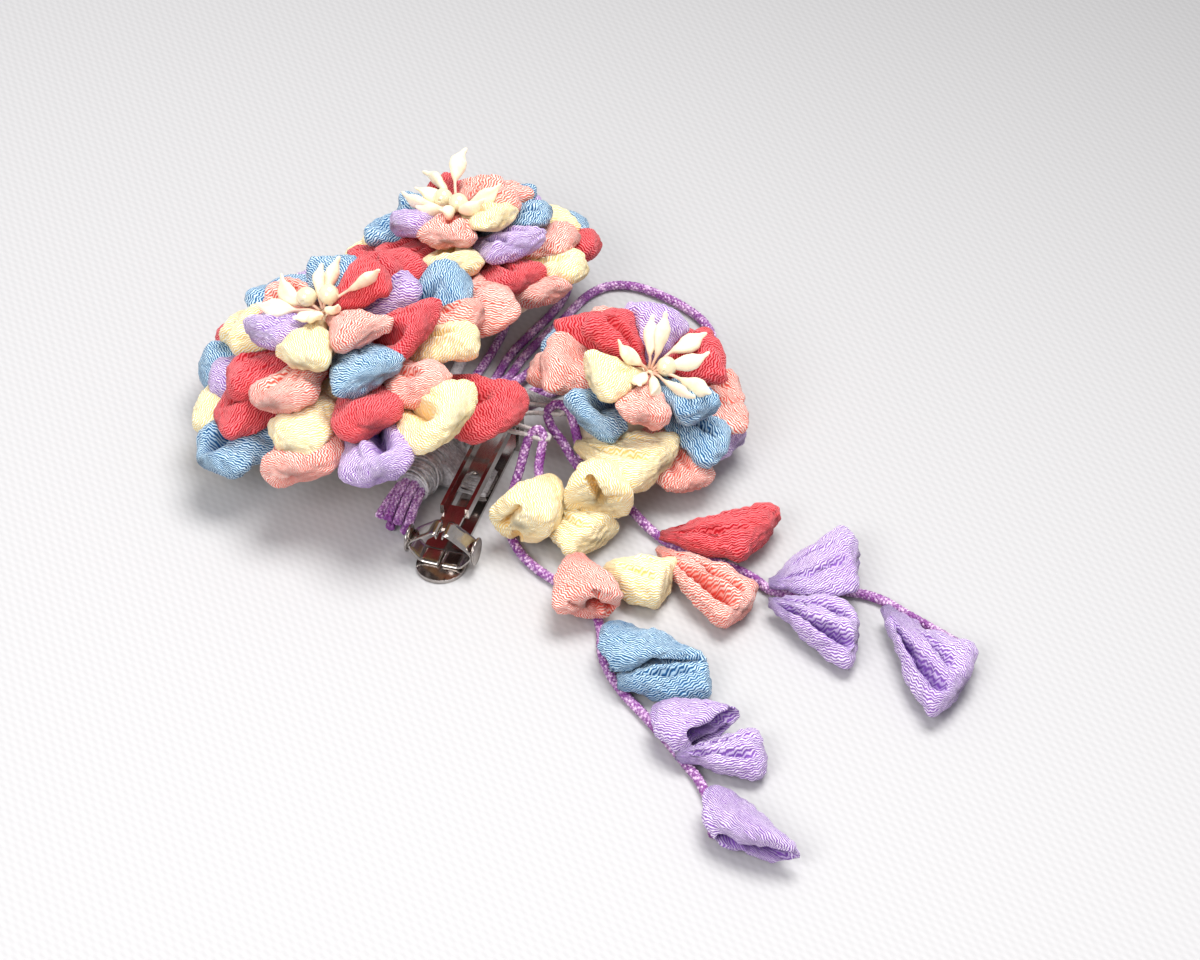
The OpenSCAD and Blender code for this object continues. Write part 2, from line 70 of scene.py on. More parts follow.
def newObject(name, data):
    thing = bpy.data.objects.new(name, data)
    bpy.context.scene.collection.objects.link(thing)
    return thing


def makeCamera():
    data = bpy.data.cameras.new("photoCamera")
    data.lens = cameraLook["lens"]
    data.sensor_width = cameraLook["sensor"]
    data.clip_start = cameraLook["nearest"]
    thing = newObject("photoCamera", data)
    aimAt(thing, cameraLook["place"], cameraLook["aim"])
    bpy.context.scene.camera = thing


def makeLights():
    for name, look in lightRig.items():
        data = bpy.data.lights.new(name, "AREA")
        data.shape = "DISK"
        data.size = look["width"]
        data.energy = look["power"]
        data.color = look["colour"]
        aimAt(newObject(name, data), look["place"], look["aim"])


def makeWorld():
    world = bpy.data.worlds.new("studioWorld")
    bpy.context.scene.world = world
    world.use_nodes = True
    back = world.node_tree.nodes["Background"]
    back.inputs["Color"].default_value = worldLook["colour"]
    back.inputs["Strength"].default_value = worldLook["strength"]
    bpy.context.scene.view_settings.view_transform = "Standard"


makeCamera()
makeLights()
makeWorld()
print("camera and lights are set")


# Small tools for node trees
def put(tree, kind, inputs=None, **settings):  # a new node with its settings, values and links
    node = tree.nodes.new(kind)
    for key, value in settings.items():
        setattr(node, key, value)
    for key, value in (inputs or {}).items():
        if isinstance(value, bpy.types.NodeSocket):
            tree.links.new(value, node.inputs[key])
        else:
            node.inputs[key].default_value = value
    return node


def mathNode(tree, operation, *values):
    return put(tree, "ShaderNodeMath", dict(enumerate(values)), operation=operation).outputs[0]


def sums(tree, *operations):  # functions that place these operations in the tree
    return [partial(mathNode, tree, operation) for operation in operations]


def vectorNode(tree, operation, first, second):
    return put(tree, "ShaderNodeVectorMath", {0: first, 1: second}, operation=operation).outputs[0]


def scaled(tree, vector, scale):
    return put(tree, "ShaderNodeVectorMath", {0: vector, "Scale": scale}, operation="SCALE").outputs[0]


def mapped(tree, value, low, high, toLow=0.0, toHigh=1.0, easing="LINEAR"):  # from one range to another
    ends = {"From Min": low, "From Max": high, "To Min": toLow, "To Max": toHigh}
    return put(tree, "ShaderNodeMapRange", {"Value": value, **ends}, interpolation_type=easing).outputs[0]


def noise(tree, inputs, **settings):
    return put(tree, "ShaderNodeTexNoise", inputs, **settings).outputs["Fac"]


def mixed(tree, share, first, second):  # from the first colour to the second
    return put(tree, "ShaderNodeMix", {"Factor": share, 6: first, 7: second}, data_type="RGBA").outputs[2]


def openTree(name, kind, inputs, outputs):  # a node group with its sockets, and what comes in
    tree = bpy.data.node_groups.new(name, kind)
    for way, sockets in (("INPUT", inputs), ("OUTPUT", outputs)):
        for socket, form, value in sockets:
            item = tree.interface.new_socket(socket, in_out=way, socket_type="NodeSocket" + form)
            if value is not None:
                item.default_value = value
    return tree, put(tree, "NodeGroupInput").outputs


# Small tools for paths
def unit(vector):
    vector = np.asarray(vector, float)
    return vector / max(np.linalg.norm(vector), 1e-12)


def smoothStep(low, high, x):  # from 0 at low to 1 at high
    t = np.clip((np.asarray(x, float) - low) / (high - low), 0, 1)
    return t * t * (3 - 2 * t)


def easyCurve(xs, ys, x):  # a curve through the points that never overshoots
    xs, ys = np.asarray(xs, float), np.asarray(ys, float)
    gaps = np.diff(xs)
    slopes = np.diff(ys) / gaps
    bends = np.zeros(len(xs))
    bends[0], bends[-1] = slopes[0], slopes[-1]
    for i in range(1, len(xs) - 1):
        if slopes[i - 1] * slopes[i] > 0:
            bends[i] = 2 * slopes[i - 1] * slopes[i] / (slopes[i - 1] + slopes[i])
    i = np.clip(np.searchsorted(xs, x, side="right") - 1, 0, len(xs) - 2)
    t = (x - xs[i]) / gaps[i]
    return ((1 + 2 * t) * (1 - t) ** 2 * ys[i] + t * (1 - t) ** 2 * gaps[i] * bends[i]
            + t * t * (3 - 2 * t) * ys[i + 1] + t * t * (t - 1) * gaps[i] * bends[i + 1])


def stepLengths(line):
    return np.linalg.norm(np.diff(line, axis=0), axis=1)


def distances(line):  # from the line's start, along the line
    return np.concatenate([[0], np.cumsum(stepLengths(line))])


def evenSteps(line, count):  # distances and points at even steps along the line
    along = distances(line)
    steps = np.linspace(0, along[-1], count)
    return steps, np.column_stack([np.interp(steps, along, line[:, k]) for k in range(line.shape[1])])


def smoothPath(points, spacing, fineness=24):  # a round line through a route's points, in even steps
    route = np.asarray(points, float)
    route = np.vstack([2 * route[0] - route[1], route, 2 * route[-1] - route[-2]])
    parts = []
    for i in range(1, len(route) - 2):
        four = route[i - 1:i + 3]
        k = np.concatenate([[0], np.cumsum(np.sqrt(stepLengths(four)))])
        t = np.linspace(k[1], k[2], fineness, endpoint=False)[:, None]
        a = [((k[j + 1] - t) * four[j] + (t - k[j]) * four[j + 1]) / (k[j + 1] - k[j]) for j in range(3)]
        b = [((k[j + 2] - t) * a[j] + (t - k[j]) * a[j + 1]) / (k[j + 2] - k[j]) for j in range(2)]
        parts.append(((k[2] - t) * b[0] + (t - k[1]) * b[1]) / (k[2] - k[1]))
    line = np.vstack(parts + [route[-2:-1]])
    return evenSteps(line, max(3, int(round(stepLengths(line).sum() / spacing)) + 1))[1]


def closedPath(points, spacing):  # ends where it starts
    return smoothPath(np.vstack([points, points[:1]]), spacing)


def tangents(path):
    ahead = np.gradient(path, axis=0)
    return ahead / np.linalg.norm(ahead, axis=1)[:, None]


def carriedFrames(path):  # sideways and upward directions that don't twist along the path
    ahead = tangents(path)
    side = np.zeros_like(path)
    side[0] = unit(np.cross(ahead[0], [0, 0, 1] if abs(ahead[0][2]) < 0.8 else [0, 1, 0]))
    for i in range(1, len(path)):
        side[i] = unit(side[i - 1] - np.dot(side[i - 1], ahead[i]) * ahead[i])
    return side, np.cross(side, ahead)


def ripple(points, seed, wave, count=7):  # soft lumps that are the same on every run
    dice = np.random.default_rng(seed)
    total = np.zeros(len(points))
    for _ in range(count):
        way = unit(dice.normal(size=3)) * fullTurn / (wave * dice.uniform(0.7, 1.45))
        total += np.sin(points @ way + dice.uniform(0, fullTurn))
    return total / math.sqrt(count)


def turnAbout(axis, degrees):  # the matrix of a turn
    x, y, z = unit(axis)
    c, s = math.cos(math.radians(degrees)), math.sin(math.radians(degrees))
    return np.array([[c + x * x * (1 - c), x * y * (1 - c) - z * s, x * z * (1 - c) + y * s],
                     [y * x * (1 - c) + z * s, c + y * y * (1 - c), y * z * (1 - c) - x * s],
                     [z * x * (1 - c) - y * s, z * y * (1 - c) + x * s, c + z * z * (1 - c)]])


# Small tools for skins and pieces
def skin(rings, along, around, tint=None):  # closed skin over rings of points, with a pole at each end
    rows, cols = rings.shape[:2]
    i, j = (a.ravel() for a in np.meshgrid(np.arange(rows - 1), np.arange(cols), indexing="ij"))
    beside = (j + 1) % cols
    quads = np.stack([i * cols + j, i * cols + beside, (i + 1) * cols + beside, (i + 1) * cols + j], 1)
    quadMap = np.stack([np.column_stack([around[j + a], along[i + b]])
                        for a, b in ((0, 0), (1, 0), (1, 1), (0, 1))], 1)
    c = np.arange(cols)
    near, far = rows * cols, rows * cols + 1
    last = (rows - 1) * cols
    tris = np.vstack([np.stack([np.full(cols, near), (c + 1) % cols, c], 1),
                      np.stack([np.full(cols, far), last + c, last + (c + 1) % cols], 1)])
    here, there = around[c], around[c + 1]
    half = (here + there) / 2
    triMap = np.concatenate([
        np.stack([np.column_stack([u, np.full(cols, v)]) for u in corners], 1)
        for corners, v in (((half, there, here), along[0]), ((half, here, there), along[-1]))])
    points = np.vstack([rings.reshape(-1, 3), rings[0].mean(0), rings[-1].mean(0)])
    tint = np.zeros((rows, cols)) if tint is None else tint
    tints = np.concatenate([tint.ravel(), [tint[0].mean(), tint[-1].mean()]])
    shell = {"quads": quads, "quadMap": quadMap, "tris": tris, "triMap": triMap}
    a, b, d = points[quads[:, 0]], points[quads[:, 1]], points[quads[:, 3]]
    if np.einsum("ij,ij->", np.cross(b - a, d - a), a - points.mean(0)) < 0:  # turned inside out
        shell = {key: faces[:, ::-1] for key, faces in shell.items()}
    return {**shell, "points": points, "tint": tints}


def moved(shell, points):
    return {**shell, "points": points}


def meshPiece(name, shells, material, floorGap=None):  # one object of many closed skins, from mm to metres
    points = np.vstack([s["points"] for s in shells]) - middle
    if floorGap is not None:
        points[:, 2] = np.maximum(points[:, 2], floorGap)
    starts = np.cumsum([0] + [len(s["points"]) for s in shells])
    quads, tris = (np.vstack([s[key] + o for s, o in zip(shells, starts)]) for key in ("quads", "tris"))
    corners = np.concatenate([quads.ravel(), tris.ravel()])
    faceStarts = np.concatenate([np.arange(len(quads)) * 4, len(quads) * 4 + np.arange(len(tris)) * 3])
    mesh = bpy.data.meshes.new(name)
    mesh.vertices.add(len(points))
    mesh.vertices.foreach_set("co", (points * mm).astype(np.float32).ravel())
    mesh.loops.add(len(corners))
    mesh.loops.foreach_set("vertex_index", corners.astype(np.int32))
    mesh.polygons.add(len(faceStarts))
    mesh.polygons.foreach_set("loop_start", faceStarts.astype(np.int32))
    mesh.update(calc_edges=True)
    clothMap = np.vstack([s[key].reshape(-1, 2) for key in ("quadMap", "triMap") for s in shells])
    mesh.uv_layers.new(name="clothMap").uv.foreach_set("vector", clothMap.astype(np.float32).ravel())
    # the tint holds painted shade on the petals and the stalks' own tone on the stamens
    tint = mesh.attributes.new("tint", "FLOAT", "POINT")
    tint.data.foreach_set("value", np.concatenate([s["tint"] for s in shells]).astype(np.float32))
    mesh.polygons.foreach_set("use_smooth", np.ones(len(faceStarts), bool))
    mesh.materials.append(material)
    mesh.validate()
    return newObject(name, mesh)


# A tube along a path; flat, twist and groove shape its cross-section
def tubeSkin(path, radii, sides, flat=1.0, twist=0.0, groove=0.0, grooveWidth=0.5, tint=None):
    side, lift = carriedFrames(path)
    radii = np.broadcast_to(np.asarray(radii, float), (len(path),))
    angle = np.arange(sides) * fullTurn / sides
    turn = twist * np.linspace(0, 1, len(path))[:, None]
    reach = 1 - np.asarray(groove).reshape(-1, 1) * np.exp(-((angle - math.pi / 2) / grooveWidth) ** 2)
    x, y = reach * np.cos(angle), reach * np.sin(angle) * np.asarray(flat).reshape(-1, 1)
    x, y = x * np.cos(turn) - y * np.sin(turn), x * np.sin(turn) + y * np.cos(turn)
    spread = x[..., None] * side[:, None] + y[..., None] * lift[:, None]
    rings = path[:, None] + radii[:, None, None] * spread
    around = np.linspace(0, fullTurn * radii.max(), sides + 1)
    return skin(rings, distances(path), around, None if tint is None else np.repeat(tint[:, None], sides, 1))


def latheSkin(profile, sides, wobble=0.0, seed=0):  # a turned shape that may be slightly out of round
    profile = np.asarray(profile, float)
    angle = np.arange(sides) * fullTurn / sides
    dice = np.random.default_rng(seed)
    rim = sum(np.sin(angle * k + dice.uniform(0, 6.28)) / k for k in (2, 3, 5, 7))
    reach = profile[:, :1] * (1 + wobble * rim[None, :])
    heights = np.repeat(profile[:, 1:2], sides, 1)
    rings = np.stack([reach * np.cos(angle), reach * np.sin(angle), heights], -1)
    return skin(rings, distances(profile), np.linspace(0, fullTurn * profile[:, 0].max(), sides + 1))


def finishPiece(thing, node):  # rides on the clip and stands for a node
    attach(thing, "clip")
    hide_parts(node)


# Materials: shared effects are node groups, placed in each material with its own values
crepeLook = {  # the cloth's map is in mm; the shares make up the height, and the ranges turn it into colour: painted shade in the valleys, painted highlights on the crests
    "pitch": 0.5, "ridgeUnit": 0.31416,  # a wave texture of that scale has ridges 1 mm apart
    "zigzagWidth": 0.7, "zigzagSlope": 0.36, "ridgeWander": 5.2,
    "brokenScale": 1.1, "fineScale": 2.3, "blotchScale": 0.11,
    "ridgeShare": 0.68, "brokenShare": 0.36, "fineShare": 0.28,
    "valleyShadeRange": (0.36, 0.60), "valleyLeast": 0.25, "crestHighlightRange": (0.63, 0.80),
    "blotchRange": (0.45, 0.75), "stain": 0.3,
    "bump": 0.17 * mm, "strength": 1.0,
    "shader": {"Roughness": 0.85, "Sheen Weight": 0.2, "Sheen Roughness": 0.5, "Specular IOR Level": 0.25},
}


def makeCrepeEffect():  # puckered cloth: zigzag ridges with painted shade in the valleys and painted highlights on the crests, and more painted shade in the folds
    look = crepeLook
    tree, given = openTree("crepeEffect", "ShaderNodeTree", [
        ("Vector", "Vector", None), ("Painted Shade Share", "Float", 0.0), ("Painted Shade", "Color", None), ("Base", "Color", None),
        ("Light", "Color", None), ("Stain", "Color", None), ("Ridge Pitch", "Float", 0.5),
        ("Stain Amount", "Float", 0.3)], [("Color", "Color", None), ("Height", "Float", None)])
    plus, times, over = sums(tree, "ADD", "MULTIPLY", "DIVIDE")
    flat = given["Vector"]
    x, y, z = put(tree, "ShaderNodeSeparateXYZ", {0: flat}).outputs
    zigzag = times(mathNode(tree, "PINGPONG", x, look["zigzagWidth"]), look["zigzagSlope"])
    place = put(tree, "ShaderNodeCombineXYZ", {0: x, 1: plus(y, zigzag), 2: z}).outputs[0]
    ridges = put(tree, "ShaderNodeTexWave", {
        "Vector": place, "Scale": over(look["ridgeUnit"], given["Ridge Pitch"]),
        "Distortion": look["ridgeWander"], "Detail": 2.0, "Detail Scale": 1.4, "Detail Roughness": 0.55},
        wave_type="BANDS", bands_direction="Y").outputs["Fac"]
    broken = noise(tree, {"Vector": flat, "Scale": look["brokenScale"], "Detail": 3.0, "Roughness": 0.6})
    fine = noise(tree, {"Vector": flat, "Scale": look["fineScale"], "Detail": 1.0})
    speckle = plus(times(broken, look["brokenShare"]), times(fine, look["fineShare"]))
    height = plus(times(ridges, look["ridgeShare"]), speckle)
    # painted shade: the low parts of the ridges take the dark colour; painted highlight: the high parts take
    # the light colour
    low = mapped(tree, height, *look["valleyShadeRange"])
    grounded = plus(look["valleyLeast"], times(low, 1 - look["valleyLeast"]))
    valleyShade = mixed(tree, grounded, given["Painted Shade"], given["Base"])
    crestHighlight = mixed(tree, mapped(tree, height, *look["crestHighlightRange"]), valleyShade, given["Light"])
    blotch = noise(tree, {"Vector": flat, "Scale": look["blotchScale"], "Detail": 2.0})
    stain = times(mapped(tree, blotch, *look["blotchRange"]), given["Stain Amount"])
    stained = mixed(tree, stain, crestHighlight, given["Stain"])
    # painted shade: the tint attribute darkens folds, holes, creases, roots and undersides toward the shade
    # colour
    folded = mixed(tree, given["Painted Shade Share"], stained, given["Painted Shade"])
    put(tree, "NodeGroupOutput", {"Color": folded, "Height": height})
    return tree


grainHabit = {"broadScale": 0.12, "fineShare": 0.6, "broadShare": 0.4, "markRange": (0.42, 0.68),
              "roughRange": (0.35, 0.7)}


def makeGrainEffect():  # uneven fine grain for metal, thread, paper, felt, beads and stamens
    habit = grainHabit
    tree, given = openTree("grainEffect", "ShaderNodeTree", [
        ("Vector", "Vector", None), ("Base", "Color", None), ("Mark", "Color", None),
        ("Grain Size", "Float", 1.0), ("Stretch", "Float", 1.0), ("Amount", "Float", 0.3),
        ("Rough Low", "Float", 0.2), ("Rough High", "Float", 0.4)],
        [("Color", "Color", None), ("Roughness", "Float", None), ("Height", "Float", None)])
    plus, times, over = sums(tree, "ADD", "MULTIPLY", "DIVIDE")
    ratio = put(tree, "ShaderNodeCombineXYZ", {0: 1.0, 1: given["Stretch"], 2: 1.0}).outputs[0]
    fine = noise(tree, {"Vector": vectorNode(tree, "MULTIPLY", given["Vector"], ratio),
                        "Scale": over(1.0, given["Grain Size"]), "Detail": 4.0, "Roughness": 0.6})
    broad = noise(tree, {"Vector": given["Vector"], "Scale": over(habit["broadScale"], given["Grain Size"]),
                         "Detail": 2.0})
    grain = plus(times(fine, habit["fineShare"]), times(broad, habit["broadShare"]))
    mark = times(mapped(tree, grain, *habit["markRange"]), given["Amount"])
    rough = mapped(tree, grain, *habit["roughRange"], given["Rough Low"], given["Rough High"])
    put(tree, "NodeGroupOutput", {"Color": mixed(tree, mark, given["Base"], given["Mark"]),
                                  "Roughness": rough, "Height": fine})
    return tree


def linear(level):  # a screen's level from 0 to 255, made linear
    share = level / 255
    return share / 12.92 if level <= 10 else ((share + 0.055) / 1.055) ** 2.4


def tone(red, green, blue):  # a colour as the photo shows it
    return (linear(red), linear(green), linear(blue), 1.0)


crepeEffect = makeCrepeEffect()
grainEffect = makeGrainEffect()
clothTones = {  # painted shade for valleys and folds, base, painted highlight for crests, stain
    "coral": (tone(166, 4, 22), tone(212, 30, 44), tone(250, 122, 128), tone(236, 66, 62)),
    "salmon": (tone(222, 72, 52), tone(240, 140, 124), tone(255, 236, 224), tone(244, 120, 98)),
    "cream": (tone(244, 198, 110), tone(254, 236, 166), tone(255, 255, 236), tone(253, 214, 130)),
    "lavender": (tone(112, 58, 164), tone(180, 146, 206), tone(240, 226, 248), tone(172, 128, 196)),
    "blue": (tone(4, 50, 102), tone(66, 134, 186), tone(212, 240, 254), tone(58, 118, 168)),
}
grainLooks = {  # the effect's values, the shader's fixed settings, bump in mm, the colour that a tint adds
    "nickelSteel": {
        "effect": {"Base": tone(184, 178, 174), "Mark": tone(112, 100, 92), "Grain Size": 0.9,
                   "Stretch": 0.25, "Amount": 0.5, "Rough Low": 0.08, "Rough High": 0.22},
        "shader": {"Metallic": 1.0}, "bump": 0.004, "strength": 0.8},
    "braidedSilk": {  # its tint is a painted highlight where a strand comes to the top
        "effect": {"Base": tone(122, 50, 134), "Mark": tone(164, 88, 172), "Grain Size": 0.5, "Amount": 0.8,
                   "Rough Low": 0.28, "Rough High": 0.42},
        "shader": {"Specular IOR Level": 0.6}, "bump": 0.01, "strength": 0.8, "tint": tone(246, 212, 246)},
    "greyThread": {
        "effect": {"Base": tone(174, 170, 172), "Mark": tone(246, 245, 246), "Grain Size": 0.6, "Amount": 0.9,
                   "Rough Low": 0.25, "Rough High": 0.5},
        "shader": {"Sheen Weight": 0.2, "Specular IOR Level": 0.8}, "bump": 0.05, "strength": 0.8},
    "paperWire": {
        "effect": {"Base": tone(206, 200, 196), "Mark": tone(140, 132, 128), "Grain Size": 0.5, "Amount": 0.6,
                   "Rough Low": 0.5, "Rough High": 0.75},
        "shader": {}, "bump": 0.04, "strength": 0.8},
    "wovenFelt": {
        "effect": {"Base": tone(246, 232, 204), "Mark": tone(232, 206, 168), "Grain Size": 0.5, "Amount": 0.6,
                   "Rough Low": 0.8, "Rough High": 0.95},
        "shader": {"Sheen Weight": 0.4}, "bump": 0.12, "strength": 0.8},
    "pearlGlaze": {
        "effect": {"Base": tone(238, 228, 192), "Mark": tone(216, 200, 150), "Grain Size": 2.2, "Amount": 0.7,
                   "Rough Low": 0.12, "Rough High": 0.22},
        "shader": {"Coat Weight": 1.0, "Coat Roughness": 0.1, "Coat IOR": 1.9, "Specular IOR Level": 0.8},
        "bump": 0.002, "strength": 0.8},
    "stamenGlaze": {  # cream heads; its tint makes the stalks pinkish
        "effect": {"Base": tone(250, 239, 212), "Mark": tone(236, 212, 170), "Grain Size": 1.6,
                   "Amount": 0.6},
        "shader": {"Roughness": 0.42, "Subsurface Weight": 0.15, "Subsurface Radius": (1.0, 0.7, 0.45),
                   "Subsurface Scale": 0.0012},
        "bump": 0.05, "strength": 0.6, "tint": tone(236, 190, 168)},
}


def newMaterial(name, settings):  # with these fixed settings of its shader
    material = bpy.data.materials.new(name)
    material.use_nodes = True
    shader = material.node_tree.nodes["Principled BSDF"]
    for key, value in settings.items():
        shader.inputs[key].default_value = value
    return material, material.node_tree, shader


def wireUp(tree, shader, colour, height, distance, strength):  # colour and bump into the shader
    bump = put(tree, "ShaderNodeBump", {"Height": height, "Distance": distance, "Strength": strength})
    tree.links.new(colour, shader.inputs["Base Color"])
    tree.links.new(bump.outputs[0], shader.inputs["Normal"])


# reads the tint: painted shade on petals, painted highlights on cords, the stalks' own tone on stamens
def tintOf(tree):
    return put(tree, "ShaderNodeAttribute", attribute_name="tint").outputs["Fac"]


def crepeMaterial(name, tones):
    look = crepeLook
    material, tree, shader = newMaterial(name, look["shader"])
    flat = put(tree, "ShaderNodeUVMap", uv_map="clothMap").outputs[0]
    # the tint attribute gives the share of painted shade
    effect = put(tree, "ShaderNodeGroup", {
        "Vector": flat, "Painted Shade Share": tintOf(tree), "Ridge Pitch": look["pitch"], "Stain Amount": look["stain"],
        **dict(zip(("Painted Shade", "Base", "Light", "Stain"), tones))}, node_tree=crepeEffect).outputs
    wireUp(tree, shader, effect["Color"], effect["Height"], look["bump"], look["strength"])
    return material


def grainMaterial(name, look):
    material, tree, shader = newMaterial(name, look["shader"])
    place = put(tree, "ShaderNodeTexCoord").outputs["Object"]
    inMm = put(tree, "ShaderNodeMapping", {"Vector": place, "Scale": (1000, 1000, 1000)}).outputs[0]
    effect = put(tree, "ShaderNodeGroup", {"Vector": inMm, **look["effect"]}, node_tree=grainEffect).outputs
    colour = effect["Color"]
    # the tint mixes in painted highlights on the cords and the stalks' own pinkish tone on the stamens
    if "tint" in look:
        colour = mixed(tree, tintOf(tree), colour, look["tint"])
    wireUp(tree, shader, colour, effect["Height"], look["bump"] * mm, look["strength"])
    if "Roughness" not in look["shader"]:
        tree.links.new(effect["Roughness"], shader.inputs["Roughness"])
    return material


crepes = {name: crepeMaterial("crepe" + name.capitalize(), tones) for name, tones in clothTones.items()}
finishes = {name: grainMaterial(name, look) for name, look in grainLooks.items()}
print("materials are made")


# Trees of Geometry Nodes that grow cord and winding along a route
def evenCurve(tree, curve, step):  # in even steps, with a normal that doesn't twist
    even = put(tree, "GeometryNodeResampleCurve", {"Curve": curve, "Length": step}, mode="LENGTH").outputs[0]
    return put(tree, "GeometryNodeSetCurveNormal", {"Curve": even}, mode="MINIMUM_TWIST").outputs[0]


def tubeAlong(tree, curve, radius, sides, scale=1.0):
    ring = put(tree, "GeometryNodeCurvePrimitiveCircle", {"Resolution": sides, "Radius": radius}).outputs[0]
    return put(tree, "GeometryNodeCurveToMesh", {"Curve": curve, "Profile Curve": ring, "Scale": scale,
                                                 "Fill Caps": True}).outputs[0]


def copiesOf(tree, curve, amount):  # copies of a curve, their index, and 1 or -1 by turns
    minus, times = sums(tree, "SUBTRACT", "MULTIPLY")
    copies = put(tree, "GeometryNodeDuplicateElements", {"Geometry": curve, "Amount": amount},
                 domain="SPLINE").outputs
    index = copies["Duplicate Index"]
    way = minus(1.0, times(mathNode(tree, "MODULO", index, 2.0), 2.0))
    return copies["Geometry"], index, way


def roundAbout(tree, angle, reach):  # a step away from the curve, at an angle round it
    normal = put(tree, "GeometryNodeInputNormal").outputs[0]
    across = vectorNode(tree, "CROSS_PRODUCT", put(tree, "GeometryNodeInputTangent").outputs[0], normal)
    steps = []
    for vector, wave in ((normal, "COSINE"), (across, "SINE")):
        size = mathNode(tree, "MULTIPLY", reach, mathNode(tree, wave, angle))
        steps.append(scaled(tree, vector, size))
    return vectorNode(tree, "ADD", *steps)


def closeTree(tree, parts, material):  # ends the tree in real geometry with its material
    joined = put(tree, "GeometryNodeJoinGeometry")
    for part in parts:
        tree.links.new(part, joined.inputs[0])
    smooth = put(tree, "GeometryNodeSetShadeSmooth", {"Geometry": joined.outputs[0]}).outputs[0]
    real = put(tree, "GeometryNodeRealizeInstances", {"Geometry": smooth}).outputs[0]
    done = put(tree, "GeometryNodeSetMaterial", {"Geometry": real, "Material": material}).outputs[0]
    put(tree, "NodeGroupOutput", {"Geometry": done})
    return tree


braidGlints = {"onTop": (0.25, 0.85), "glintNoise": (0.28, 0.5), "scale": 1.3, "strandShift": 17.0}


def makeCordTree():  # a braided cord: strands that cross over and under round a core
    tree, given = openTree("braidedCord", "GeometryNodeTree", [
        ("Geometry", "Geometry", None), ("Cord Radius", "Float", 0.00095), ("Strand Radius", "Float", 0.0003),
        ("Wave", "Float", 0.00015), ("Strands", "Int", 8), ("Twist Pitch", "Float", 0.0046),
        ("Step", "Float", 0.0003), ("Material", "Material", None)], [("Geometry", "Geometry", None)])
    plus, minus, times, over = sums(tree, "ADD", "SUBTRACT", "MULTIPLY", "DIVIDE")
    strandRadius = given["Strand Radius"]
    route = put(tree, "GeometryNodeMeshToCurve", {"Mesh": given["Geometry"]}).outputs[0]
    route = evenCurve(tree, route, given["Step"])
    spread = minus(given["Cord Radius"], plus(strandRadius, given["Wave"]))
    core = tubeAlong(tree, route, plus(spread, times(strandRadius, 0.2)), 8)  # fills up to the strands
    copies, index, way = copiesOf(tree, route, given["Strands"])
    perSide = over(given["Strands"], 2.0)
    start = times(over(mathNode(tree, "FLOOR", over(index, 2.0)), perSide), fullTurn)
    length = put(tree, "GeometryNodeSplineParameter").outputs["Length"]
    turns = times(over(length, given["Twist Pitch"]), fullTurn)
    overUnder = times(way, mathNode(tree, "COSINE", times(turns, perSide)))
    reach = plus(spread, times(given["Wave"], overUnder))
    offset = roundAbout(tree, plus(start, times(way, turns)), reach)
    laid = put(tree, "GeometryNodeSetPosition", {"Geometry": copies, "Offset": offset}).outputs[0]
    # painted highlight: pale glints where a strand comes to the top, stored as the tint
    glintNoise = noise(tree, {"W": plus(turns, times(index, braidGlints["strandShift"])),
                         "Scale": braidGlints["scale"]}, noise_dimensions="1D")
    glint = times(mapped(tree, overUnder, *braidGlints["onTop"]), mapped(tree, glintNoise, *braidGlints["glintNoise"]))
    laid = put(tree, "GeometryNodeStoreNamedAttribute", {"Geometry": laid, "Name": "tint", "Value": glint},
               data_type="FLOAT", domain="POINT").outputs[0]
    return closeTree(tree, [core, tubeAlong(tree, laid, strandRadius, 5)], given["Material"])


windingHabit = {"slowerLayers": 2.2, "wanderPerTurn": 0.9, "layerShift": 31.0, "sink": 0.4, "layerRise": 0.7}


